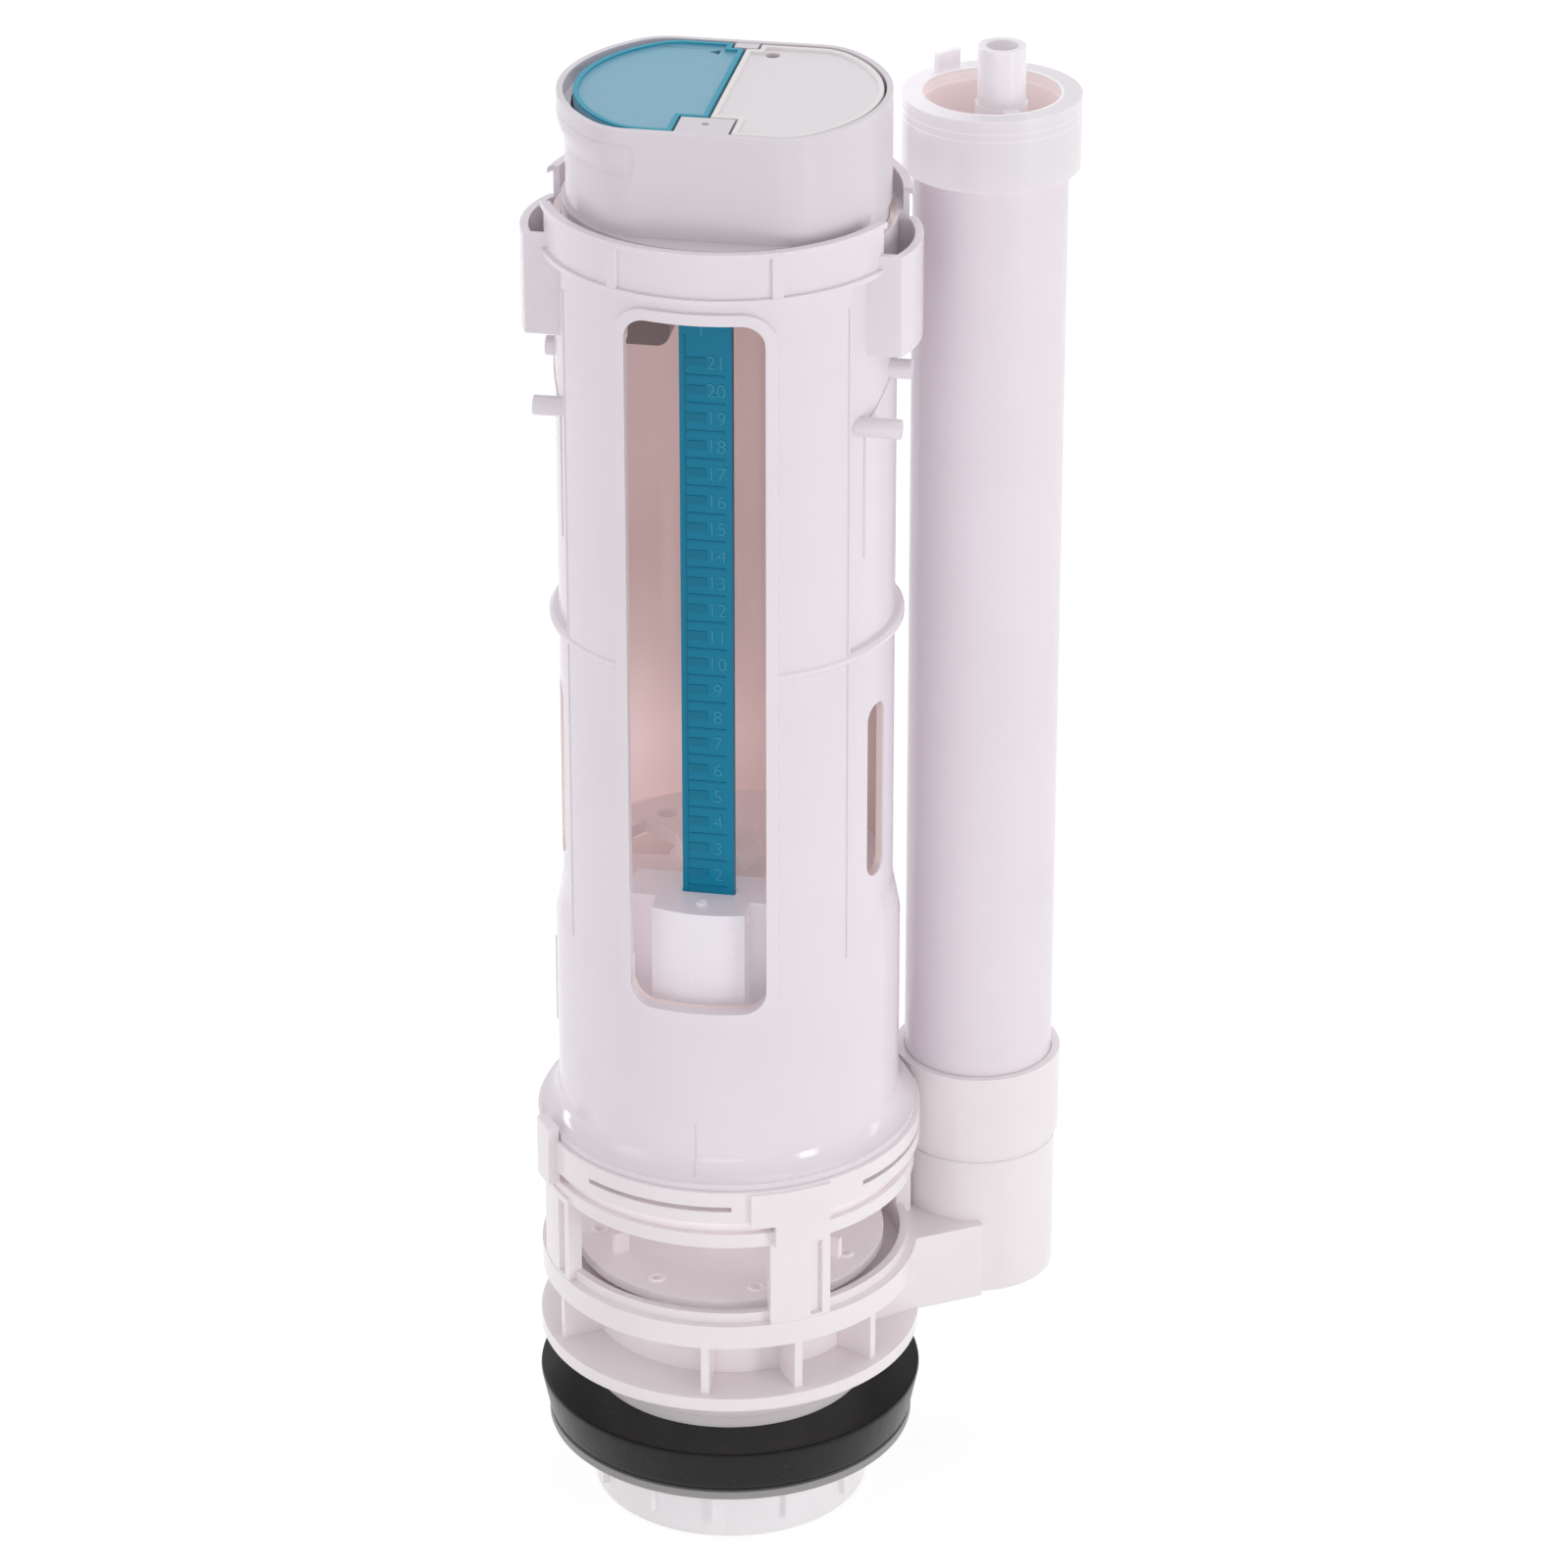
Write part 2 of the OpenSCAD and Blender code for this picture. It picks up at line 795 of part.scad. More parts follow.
// Block with round lower corners under the head's floor
module head_block() {
    block = [13, 10, 18.5];
    corner = 3;
    translate([-17.5, block[1] / 2, head_bottom + 1 - block[2] / 2])
        rotate([90, 0, 0])
            linear_extrude(block[1]) {
                round_rect(block[0], block[2], corner);
                translate([-block[0] / 2, 0])
                    square([block[0], block[2] / 2]);
            }
}

module button_head() {
    skirt_r = inner_r - seat_gap;
    floor_top = head_bottom + head_floor;
    cavity_flat = head_flat - head_wall;
    color(white)
        difference() {
            union() {
                difference() {
                    union() {
                        translate([0, 0, head_bottom])
                            cylinder(r = skirt_r, h = head_depth - 1);
                        head_block();
                        translate([0, 0, collar_top - 1 - eps])
                            linear_extrude(head_rise - rim_drop + 1 + 2 * eps)
                                head_outline(0);
                        translate([0, 0, head_top - rim_drop])
                            linear_extrude(rim_drop)
                                head_outline(0, 0);
                    }
                    translate([0, 0, floor_top])
                        linear_extrude(head_top)
                            head_outline(head_wall);
                    translate([0, 0, head_top - rim_drop + head_wall])
                        linear_extrude(head_top)
                            head_outline(head_wall - eps, 0);
                }
                translate([-tab_w / 2, -cavity_flat - eps, head_top - 6])
                    cube([tab_w, tab_d - head_wall + eps, 5.8]);
                translate([-back_tab_w / 2, cavity_flat - back_tab_d, head_top - 6])
                    cube([back_tab_w, back_tab_d + eps, 5.8]);
                for (y = [-9.6, 7.6])
                    pin_cheek(pivot_x, y, y + 2);
                pin_cheek(-pivot_x, -cavity_flat - eps, -cavity_flat + 1.6);
                pin_cheek(-pivot_x, inner_cheek, inner_cheek + cheek_t);
                for (x = [-1, 1])
                    translate([x * post_place[0], post_place[1], head_bottom])
                        cylinder(r = 4.2, h = head_floor + boss_h);
            }
            translate([stem_x, 0, head_bottom - 1])
                cylinder(r = stem_r + slide_gap, h = head_floor + 2);
            translate([rod_x, rod_y, head_bottom])
                cube([rod_w + 2 * slide_gap, rod_t + 2 * slide_gap, 3 * head_floor], center = true);
            for (x = [-1, 1])
                translate([x * post_place[0], post_place[1], head_bottom - 1])
                    cylinder(r = post_r + slide_gap, h = head_floor + boss_h + 2);
            translate([0, -head_flat + tab_d - 3.5, head_top - 2])
                cylinder(r = 0.8, h = 3);
            lever_pin_set(seat_gap / 5);
        }
}

// Both lever pins, grown by a gap where they are cut out
module lever_pin_set(grow) {
    full_len = 2 * 9.6;
    front_end = head_flat - head_wall + (grow > 0 ? eps : 0);
    translate([pivot_x, full_len / 2, pivot_z])
        rotate([90, 0, 0])
            cylinder(r = pin_r + grow, h = full_len);
    translate([-pivot_x, inner_cheek + cheek_t, pivot_z])
        rotate([90, 0, 0])
            cylinder(r = pin_r + grow, h = front_end + inner_cheek + cheek_t);
}

module lever_pins() {
    color("#b9babd")
        lever_pin_set(0);
}

// Plan of one button: half of the head's inside, clear of the tabs
module button_outline(side, inset) {
    room = head_wall + button_gap;
    difference() {
        intersection() {
            head_outline(room + inset);
            translate([side > 0 ? button_gap / 2 + inset : -2 * head_r - button_gap / 2 - inset, -head_r])
                square([2 * head_r, 2 * head_r]);
        }
        translate([-tab_w / 2 - button_gap - inset, -2 * head_flat])
            square([tab_w + 2 * button_gap + 2 * inset, head_flat + tab_d + button_gap + inset]);
        translate([-back_tab_w / 2 - button_gap - inset,
            head_flat - head_wall - back_tab_d - button_gap - inset])
            square([back_tab_w + 2 * button_gap + 2 * inset, head_flat]);
    }
}

// One button with rim, outer skirt, lever leg and guide post
module flush_button(side, leg_y, leg_w) {
    rim_w = 1.2;
    skirt_h = 5.5;
    skirt_t = 1.4;
    barb_h = 1.5;
    hole_place = [6, 23];
    difference() {
        translate([0, 0, button_under])
            linear_extrude(plate_h + rim_h)
                button_outline(side, 0);
        translate([0, 0, button_under + plate_h])
            linear_extrude(plate_h)
                button_outline(side, rim_w);
        translate([side * hole_place[0], hole_place[1], button_under - 1])
            rotate([0, 0, 180])
                cylinder(r = 1.5, h = plate_h + 3, $fn = side > 0 ? 32 : 3);
    }
    translate([0, 0, button_under - skirt_h])
        linear_extrude(skirt_h + eps)
            intersection() {
                difference() {
                    button_outline(side, 0);
                    button_outline(side, skirt_t);
                }
                translate([side > 0 ? 14 : -14 - 2 * head_r, -head_r])
                    square([2 * head_r, 2 * head_r]);
            }
    translate([side > 0 ? leg_x : -leg_x - leg_t, leg_y - leg_w / 2, lever_top + leg_gap])
        cube([leg_t, leg_w, button_under - lever_top - leg_gap + eps]);
    translate([side * post_place[0], post_place[1], head_bottom - barb_h - slide_gap]) {
        cylinder(r = post_r, h = button_under - head_bottom + barb_h + slide_gap + eps);
        cylinder(r1 = post_r, r2 = post_r + 0.9, h = barb_h);
    }
}

module full_button() {
    color("#e4dedc")
        flush_button(1, 0, 8);
}

module half_button() {
    color("#1786ab")
        flush_button(-1, -12, 6);
}

// Bar of a lever, from x0 to x1, at the pivot's height
module lever_bar(x0, x1, y0, y1) {
    translate([x0, y0, pivot_z - lever_t / 2])
        cube([x1 - x0, y1 - y0, lever_t]);
}

// Boss of a lever round its pin, from y0 to y1
module lever_boss(x, y0, y1, r) {
    translate([x, y1, pivot_z])
        rotate([90, 0, 0])
            cylinder(r = r, h = y1 - y0);
}

module full_lever() {
    half_w = 7;
    slot = stem_r + 0.4;
    color("#e2dade")
        difference() {
            union() {
                lever_bar(stem_x - fork_reach, leg_x + leg_t, -half_w, half_w);
                lever_boss(pivot_x, -half_w, half_w, pin_r + 1.9);
            }
            lever_bar(stem_x - fork_reach - 1, stem_x + stem_r + 1.5, -slot, slot);
            lever_boss(pivot_x, -half_w - 1, half_w + 1, pin_r + pin_gap);
        }
}

module half_lever() {
    front = rod_y - rod_fork_half;
    back = rod_y + rod_fork_half;
    slot = rod_t / 2 + 0.45;
    boss_front = -(head_flat - head_wall) + 1.6 + slide_gap;
    boss_back = inner_cheek - slide_gap;
    rod_left = rod_x - rod_w / 2 - 0.9;
    color("#e2dade")
        difference() {
            union() {
                lever_bar(-pivot_x, rod_fork_reach, front, back);
                lever_bar(-leg_x - leg_t, -pivot_x, -16, -8);
                lever_boss(-pivot_x, boss_front, boss_back, pin_r + 1.9);
            }
            lever_bar(rod_left, rod_fork_reach + 1, rod_y - slot, rod_y + slot);
            lever_boss(-pivot_x, boss_front - 1, boss_back + 1, pin_r + pin_gap);
        }
}

// Points of one turn of wire round a coil, at turn angle t
function coil_ring(t, r, wire, rise) = [
    for (k = [0:5])
        [(r + wire * cos(60 * k)) * cos(t), (r + wire * cos(60 * k)) * sin(t),
            wire + rise * t / 360 + wire * sin(60 * k)]
];

// Compression spring as one swept wire
module coil_spring(r, wire, h, turns) {
    steps = turns * 12;
    rise = (h - 2 * wire) / turns;
    rings = [for (i = [0:steps]) coil_ring(i * 30, r, wire, rise)];
    points = [for (q = rings, p = q) p];
    sides = [for (i = [0:steps - 1], k = [0:5])
        [6 * i + k, 6 * i + 6 + k, 6 * i + 6 + (k + 1) % 6, 6 * i + (k + 1) % 6]];
    polyhedron(points, concat(sides, [[for (k = [0:5]) k]], [[for (k = [5:-1:0]) 6 * steps + k]]));
}

module button_spring(side) {
    wire = 0.45;
    color("#a9abae")
        translate([side * post_place[0], post_place[1], spring_z + seat_gap])
            coil_spring(post_r + 1, wire, button_under - spring_z - 2 * seat_gap, 7);
}

module full_spring() {
    button_spring(1);
}

module half_spring() {
    button_spring(-1);
}

module lift_stem() {
    color("#dfd6da")
        translate([stem_x, 0, seal_z - retainer_h])
            cylinder(r = stem_r, h = lever_top + lift_gap + head_disc_h - seal_z + retainer_h);
}

// Disc at a sideways place, with a bore for the stem
module stem_disc(r, z, h, x = 0) {
    difference() {
        translate([x, 0, z])
            cylinder(r = r, h = h);
        translate([stem_x, 0, z - 1])
            cylinder(r = stem_r + pin_gap, h = h + 2);
    }
}

module stem_head() {
    color("#dfd6da")
        stem_disc(head_disc_r, lever_top + lift_gap, head_disc_h, stem_x);
}

module seal_plate() {
    hole_angles = [-164, -113, -68, -18, 26, 70, 114, 155];
    rib_h = 5;
    fin = [3.6, 1.4];
    color("#e6dcdf")
        difference() {
            union() {
                stem_disc(plate_r, plate_z, plate_t);
                stem_disc(stem_r + 5, plate_z, plate_t + rib_h, stem_x);
                for (a = [-142, -22, 98])
                    rotate([0, 0, a])
                        translate([plate_r - 9, -fin[1] / 2, plate_z + plate_t - eps])
                            cube([fin[0], fin[1], rib_h]);
            }
            for (a = hole_angles)
                rotate([0, 0, a])
                    translate([plate_r - 5.3, 0, plate_z - 1])
                        cylinder(r = 1, h = plate_t + 2);
        }
}

module seal_ring() {
    color("#c9a58f")
        stem_disc(seal_r, seal_z, seal_t);
}

module seal_retainer() {
    color("#dfd6da")
        stem_disc(seat_r - 3.5, seal_z - retainer_h, retainer_h);
}

module main_float() {
    wall = 1.6;
    color("#e6dcdf") {
        difference() {
            stem_disc(main_float_r, main_float_z, main_float_h);
            translate([0, 0, main_float_z - 1])
                ring(main_float_r - wall, stem_r - stem_x + 2, main_float_h - wall + 1);
        }
    }
}

module scale_rod() {
    top = lever_top + lift_gap;
    color("#177a9f") {
        translate([rod_x - rod_w / 2, rod_y - rod_t / 2, rod_foot])
            cube([rod_w, rod_t, top - rod_foot]);
        translate([rod_x - tang_w / 2, rod_y - rod_t / 2, top - eps])
            cube([tang_w, rod_t, head_disc_h + eps]);
    }
}

module rod_clip() {
    front = rod_y - 4.7;
    color("#177a9f")
        difference() {
            translate([rod_x - 4.4, front, lever_top + lift_gap])
                cube([rod_fork_reach - rod_x + 4.4, 9.4, head_disc_h]);
            translate([rod_x - tang_w / 2 - pin_gap, rod_y - rod_t / 2 - pin_gap, lever_top])
                cube([tang_w + 2 * pin_gap, rod_t + 2 * pin_gap, 2 * head_disc_h]);
        }
}

// Plan of the part-flush float, shrunk by an inset
module float_outline(inset) {
    nose_half = 10.2;
    body_half = 16.5;
    body_front = -24;
    back = spider_front - 1;
    intersection() {
        circle(r = float_r - inset);
        union() {
            translate([float_x - nose_half + inset, -2 * float_r])
                square([2 * (nose_half - inset), 2 * float_r + back - inset]);
            translate([float_x - body_half + inset, body_front + inset])
                square([2 * (body_half - inset), back - body_front - 2 * inset]);
        }
    }
}

module half_float() {
    wall = 1.5;
    slot = [rod_w + 2 * slide_gap, rod_t + 2 * slide_gap];
    low = float_top - float_h;
    color("#e8e2ea")
        difference() {
            translate([0, 0, low])
                linear_extrude(float_h)
                    float_outline(0);
            translate([0, 0, low - 1])
                linear_extrude(float_h - wall + 1)
                    difference() {
                        float_outline(wall);
                        translate([rod_x, rod_y])
                            square([slot[0] + 2 * wall, slot[1] + 2 * wall], center = true);
                    }
            translate([rod_x, rod_y, low + float_h / 2])
                cube([slot[0], slot[1], float_h + 2], center = true);
        }
}

base_housing();
shank_nut();
slip_washer();
tank_gasket();
overflow_tube();
tube_seal();
overflow_cap();
tower();
guide_spider();
button_head();
lever_pins();
full_button();
half_button();
full_lever();
half_lever();
full_spring();
half_spring();
lift_stem();
stem_head();
seal_plate();
seal_ring();
seal_retainer();
main_float();
scale_rod();
rod_clip();
half_float();
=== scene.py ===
"""Looks of a dual flush valve for a toilet tank, built round its CAD parts."""

import json
import math

import bmesh
import bpy
from mathutils import Matrix, Vector
from mathutils.bvhtree import BVHTree


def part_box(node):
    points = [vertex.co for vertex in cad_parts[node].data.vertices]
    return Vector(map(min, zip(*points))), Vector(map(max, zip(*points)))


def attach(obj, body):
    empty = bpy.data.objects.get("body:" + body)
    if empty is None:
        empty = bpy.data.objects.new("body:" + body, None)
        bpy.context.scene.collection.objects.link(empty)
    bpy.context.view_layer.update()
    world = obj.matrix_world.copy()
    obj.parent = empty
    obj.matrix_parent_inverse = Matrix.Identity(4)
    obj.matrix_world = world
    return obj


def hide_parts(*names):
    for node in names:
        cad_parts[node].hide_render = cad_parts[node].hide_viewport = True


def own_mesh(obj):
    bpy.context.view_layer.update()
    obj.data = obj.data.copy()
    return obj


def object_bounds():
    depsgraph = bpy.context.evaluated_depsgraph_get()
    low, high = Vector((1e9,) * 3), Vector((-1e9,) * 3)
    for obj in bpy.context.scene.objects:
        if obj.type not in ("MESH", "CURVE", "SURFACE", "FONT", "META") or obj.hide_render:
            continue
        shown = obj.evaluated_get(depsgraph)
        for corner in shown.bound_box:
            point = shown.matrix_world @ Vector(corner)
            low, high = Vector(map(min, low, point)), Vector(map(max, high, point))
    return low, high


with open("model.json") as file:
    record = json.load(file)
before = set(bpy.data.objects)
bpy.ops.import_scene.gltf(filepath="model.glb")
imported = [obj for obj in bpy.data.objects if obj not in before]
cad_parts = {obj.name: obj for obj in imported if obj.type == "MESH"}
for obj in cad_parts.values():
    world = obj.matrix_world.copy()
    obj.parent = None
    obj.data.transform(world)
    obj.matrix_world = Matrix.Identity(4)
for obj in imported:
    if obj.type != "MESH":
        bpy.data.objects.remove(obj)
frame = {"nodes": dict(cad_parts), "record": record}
start_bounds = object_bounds()
NODES = frame["nodes"]
BODY_OF = {n: b for b, ns in frame["record"]["behaviour"]["bodies"].items() for n in ns}
SLOT_OF = {s["node"]: s["material_slot"] for s in frame["record"]["subparts"]}
MM = 0.001


# Material nodes

def new_material(name):
    mat = bpy.data.materials.new(name)
    mat.use_nodes = True
    tree = mat.node_tree
    return mat, tree, tree.nodes["Principled BSDF"]


def feed(tree, socket, value):
    """Put a number, a colour or another node's output into a socket."""
    if isinstance(value, bpy.types.NodeSocket):
        tree.links.new(value, socket)
    elif isinstance(value, tuple):
        socket.default_value = (*value, 1)
    else:
        socket.default_value = value


def math_node(tree, operation, a, b=None):
    node = tree.nodes.new("ShaderNodeMath")
    node.operation = operation
    feed(tree, node.inputs[0], a)
    if b is not None:
        feed(tree, node.inputs[1], b)
    return node.outputs[0]


def mix_colour(tree, factor, a, b, blend="MIX"):
    node = tree.nodes.new("ShaderNodeMix")
    node.data_type = "RGBA"
    node.blend_type = blend
    for label, value in (("Factor", factor), ("A", a), ("B", b)):
        feed(tree, node.inputs[label], value)
    return node.outputs["Result"]


def ramp_between(tree, value, low, high, least=0.0, most=1.0):
    node = tree.nodes.new("ShaderNodeMapRange")
    node.clamp = True
    tree.links.new(value, node.inputs["Value"])
    for label, given in (("From Min", low), ("From Max", high), ("To Min", least), ("To Max", most)):
        node.inputs[label].default_value = given
    return node.outputs["Result"]


def steps_over(tree, value, pairs):
    """Piecewise straight curve through pairs of input and output."""
    first, last = pairs[0][0], pairs[-1][0]
    node = tree.nodes.new("ShaderNodeValToRGB")
    stops = node.color_ramp.elements
    while len(stops) < len(pairs):
        stops.new(0.5)
    for stop, (at, level) in zip(stops, pairs):
        stop.position = (at - first) / (last - first)
        stop.color = (level, level, level, 1)
    feed(tree, node.inputs["Fac"], ramp_between(tree, value, first, last))
    return node.outputs["Color"]


def object_place(tree):
    coords = tree.nodes.new("ShaderNodeTexCoord")
    split = tree.nodes.new("ShaderNodeSeparateXYZ")
    tree.links.new(coords.outputs["Object"], split.inputs[0])
    return coords.outputs["Object"], split.outputs


def distance_from(tree, xyz, centre):
    """Distance from an upright axis."""
    dx = math_node(tree, "SUBTRACT", xyz[0], centre[0])
    dy = math_node(tree, "SUBTRACT", xyz[1], centre[1])
    square = math_node(tree, "ADD", math_node(tree, "MULTIPLY", dx, dx), math_node(tree, "MULTIPLY", dy, dy))
    return math_node(tree, "SQRT", square)


def noise(tree, place, scale, detail=2.0):
    node = tree.nodes.new("ShaderNodeTexNoise")
    node.inputs["Scale"].default_value = scale
    node.inputs["Detail"].default_value = detail
    tree.links.new(place, node.inputs["Vector"])
    return node.outputs["Fac"]


def bump(tree, bsdf, height, strength, distance):
    node = tree.nodes.new("ShaderNodeBump")
    node.inputs["Strength"].default_value = strength
    node.inputs["Distance"].default_value = distance
    tree.links.new(height, node.inputs["Height"])
    tree.links.new(node.outputs["Normal"], bsdf.inputs["Normal"])


# Materials, with lengths in metres

SIDE_BLEND = 0.00006
TOP_BLEND = 0.0002
GLOW_REACH = 0.0015
GLOW_TINT = (1.0, 0.95, 0.95)
MOTTLE = (0.93, 0.92, 0.92)
SPECK_GAIN = 3


def plastic(name, colour, roughness, inside=None, inside_r=None, centre=(0, 0), specular=0.5, glow=0.0,
            top=None, top_z=None, painted_light=None, painted_light_over=None, painted_light_side=None):
    """Moulded plastic, faintly uneven, with another colour inside a radius or above a height, which some
    finishes use for painted shade, a painted highlight and a painted reflection. Glow lets light through its
    walls. Painted light is a glow given off by the surface itself, standing in for the light that the walls
    round a shaded inside let in. It can change over pairs of height and level, and along x between two
    places and their levels."""
    mat, tree, bsdf = new_material(name)
    place, xyz = object_place(tree)
    result = colour
    level = 1.0
    if inside:
        level = ramp_between(tree, distance_from(tree, xyz, centre), inside_r + SIDE_BLEND, inside_r)
        result = mix_colour(tree, level, colour, inside)
    if painted_light_over:
        level = math_node(tree, "MULTIPLY", steps_over(tree, xyz[2], painted_light_over), level)
    if painted_light_side:
        level = math_node(tree, "MULTIPLY", level, ramp_between(tree, xyz[0], *painted_light_side))
    # Painted light: the surface gives off an even glow, though it is no lamp.
    if painted_light:
        feed(tree, bsdf.inputs["Emission Color"], painted_light)
        feed(tree, bsdf.inputs["Emission Strength"], level)
    if top:
        result = mix_colour(tree, ramp_between(tree, xyz[2], top_z, top_z + TOP_BLEND), colour, top)
    patch = ramp_between(tree, noise(tree, place, scale=30), low=0.4, high=0.7, least=0, most=0.3)
    feed(tree, bsdf.inputs["Base Color"], mix_colour(tree, patch, result, MOTTLE, "MULTIPLY"))
    grain = noise(tree, place, scale=220, detail=3)
    dull = ramp_between(tree, grain, low=0.35, high=0.7, least=roughness - 0.02, most=roughness + 0.03)
    feed(tree, bsdf.inputs["Roughness"], dull)
    bsdf.inputs["Specular IOR Level"].default_value = specular
    bsdf.inputs["Subsurface Weight"].default_value = glow
    bsdf.inputs["Subsurface Radius"].default_value = GLOW_TINT
    bsdf.inputs["Subsurface Scale"].default_value = GLOW_REACH
    bump(tree, bsdf, noise(tree, place, scale=90), strength=0.035, distance=0.001)
    return mat


def rubber(name, colour, roughness, specular=0.35):
    """Dull rubber with a few pale specks."""
    mat, tree, bsdf = new_material(name)
    place, _ = object_place(tree)
    speck = ramp_between(tree, noise(tree, place, scale=900, detail=0), low=0.74, high=0.78)
    pale = tuple(c * SPECK_GAIN for c in colour)
    feed(tree, bsdf.inputs["Base Color"], mix_colour(tree, speck, colour, pale))
    bsdf.inputs["Roughness"].default_value = roughness
    bsdf.inputs["Specular IOR Level"].default_value = specular
    bump(tree, bsdf, noise(tree, place, scale=500), strength=0.08, distance=0.0005)
    return mat


def metal(name, colour, roughness):
    """Drawn wire with a finely uneven shine."""
    mat, tree, bsdf = new_material(name)
    feed(tree, bsdf.inputs["Base Color"], colour)
    bsdf.inputs["Metallic"].default_value = 1
    place, _ = object_place(tree)
    grain = noise(tree, place, scale=600, detail=3)
    dull = ramp_between(tree, grain, low=0.3, high=0.7, least=roughness - 0.08, most=roughness + 0.1)
    feed(tree, bsdf.inputs["Roughness"], dull)
    return mat


TUBE_AXIS = (0.05111, 0.03181)
BASKET_INSIDE = 0.0405
TOWER_INSIDE = 0.03562
TUBE_INSIDE = 0.0150
HEAD_FLOOR = 0.28
BUTTON_RIM = 0.3143
BASE = (0.93, 0.87, 0.88)
WHITE = (0.86, 0.80, 0.84)
# Darker, pinker colour for the inside of the tower: painted shade.
PINK_SHADE = (0.78, 0.655, 0.63)
# Heights and levels of painted light: a glow painted into the shaded insides of the basket, tower and tube
# and over the cap. The cap's narrow peaks are painted highlight bands.
BASE_PAINTED_LIGHT = ((0.066, 0), (0.068, 1))
TOWER_PAINTED_LIGHT = ((0.09, 0.1), (0.115, 0.4), (0.13, 0.85), (0.152, 0.95), (0.163, 0.75), (0.176, 0.55),
              (0.2, 0.5), (0.22, 0.65), (0.25, 0.72), (0.262, 0.5), (0.29, 0.1))
TUBE_PAINTED_LIGHT = ((0.28, 0.03), (0.31, 1))
CAP_PAINTED_LIGHT = ((0.29, 0.7), (0.298, 0.6), (0.301, 0.6), (0.3013, 1), (0.3016, 0.6), (0.3027, 0.6), (0.303, 1),
            (0.3033, 0.62), (0.306, 0.66), (0.3075, 0.66), (0.312, 0.95))
PLASTICS = {
    # Base: painted light, a glow inside the basket above a height. The inside keeps the base's own colour.
    "base_white": dict(colour=BASE, roughness=0.14, inside=BASE, inside_r=BASKET_INSIDE, glow=0.3,
                       painted_light=(0.13, 0.115, 0.115), painted_light_over=BASE_PAINTED_LIGHT),
    # Nut: painted light, an even glow all over.
    "nut_white": dict(colour=(0.94, 0.895, 0.905), roughness=0.18, glow=0.3, painted_light=(0.06, 0.065, 0.065)),
    # Tower: painted shade inside, and painted light there that changes with height and is strong on the left
    # and weak on the right.
    "tower_white": dict(colour=WHITE, roughness=0.12, inside=PINK_SHADE, inside_r=TOWER_INSIDE, glow=0.3,
                        painted_light=(0.255, 0.195, 0.2), painted_light_over=TOWER_PAINTED_LIGHT, painted_light_side=(-0.02, 0.03, 1.2, 0.15)),
    # Head: dark below its floor as painted shade inside the tower, and its own white above.
    "head_white": dict(colour=(0.36, 0.31, 0.31), roughness=0.14, glow=0.2, top=(0.77, 0.715, 0.755),
                       top_z=HEAD_FLOOR),
    # Float: painted light, an even glow all over.
    "float_white": dict(colour=(0.74, 0.69, 0.72), roughness=0.25, glow=0.2, painted_light=(0.15, 0.15, 0.165)),
    # Tube: a darker, pinker inside as painted shade, with painted light there that grows towards the top.
    "tube_white": dict(colour=(0.87, 0.80, 0.845), roughness=0.2, inside=(0.82, 0.73, 0.725),
                       inside_r=TUBE_INSIDE, centre=TUBE_AXIS, glow=0.3, painted_light=(0.34, 0.28, 0.28),
                       painted_light_over=TUBE_PAINTED_LIGHT),
    # Cap: painted light that changes with height, with narrow bright bands as painted highlights, and
    # stronger on the left side.
    "cap_frost": dict(colour=(0.75, 0.71, 0.74), roughness=0.16, glow=0.4, painted_light=(0.2, 0.195, 0.2),
                      painted_light_over=CAP_PAINTED_LIGHT, painted_light_side=(0.036, 0.05, 2.1, 0.8)),
    # Pale glowing finish for thin rings on the cap's rims and lip: painted highlight lines.
    "cap_highlight": dict(colour=(0.97, 0.95, 0.96), roughness=0.2, painted_light=(0.12, 0.12, 0.12)),
    # Inner parts: painted light, an even glow in the shaded inside.
    "inner_white": dict(colour=(0.89, 0.82, 0.84), roughness=0.35, glow=0.3, painted_light=(0.115, 0.11, 0.115)),
    # Spider: painted light, an even glow.
    "spider_white": dict(colour=(0.86, 0.79, 0.80), roughness=0.3, glow=0.3, painted_light=(0.08, 0.07, 0.07)),
    # White button: the rim above its height is lighter and creamier, a painted highlight on its rounded
    # edges.
    "button_white": dict(colour=(0.87, 0.825, 0.845), roughness=0.42, glow=0.2, top=(0.93, 0.885, 0.86),
                         top_z=BUTTON_RIM),
    "blue_plastic": dict(colour=(0.0, 0.265, 0.44), roughness=0.3, specular=0.25),
    # Raised marks in the rod's own plastic: the ticks are a darker blue as painted shade and the figures a
    # lighter blue as painted highlight.
    "blue_mark_shade": dict(colour=(0.0, 0.225, 0.375), roughness=0.3, specular=0.25),
    "blue_figure_highlight": dict(colour=(0.015, 0.34, 0.52), roughness=0.3, specular=0.4),
    # Blue button: the plate below the rim is lighter and greyer, a painted reflection of the sky. The rim
    # keeps the button's own blue.
    "blue_button": dict(colour=(0.215, 0.46, 0.585), roughness=0.45, top=(0.01, 0.33, 0.47),
                        top_z=BUTTON_RIM),
    "washer_grey": dict(colour=(0.32, 0.31, 0.315), roughness=0.5),
}
MATERIALS = {name: plastic(name, **look) for name, look in PLASTICS.items()}
MATERIALS["gasket_rubber"] = rubber("gasket_rubber", (0.0042, 0.0042, 0.005), 0.3, 0.28)
MATERIALS["seal_rubber"] = rubber("seal_rubber", (0.50, 0.31, 0.22), 0.6)
MATERIALS["steel"] = metal("steel", (0.55, 0.56, 0.57), 0.3)
FINISH = {
    "shank_nut": "nut_white", "guide_spider": "spider_white", "button_head": "head_white",
    "half_float": "float_white", "half_button": "blue_button",
}


# Pieces

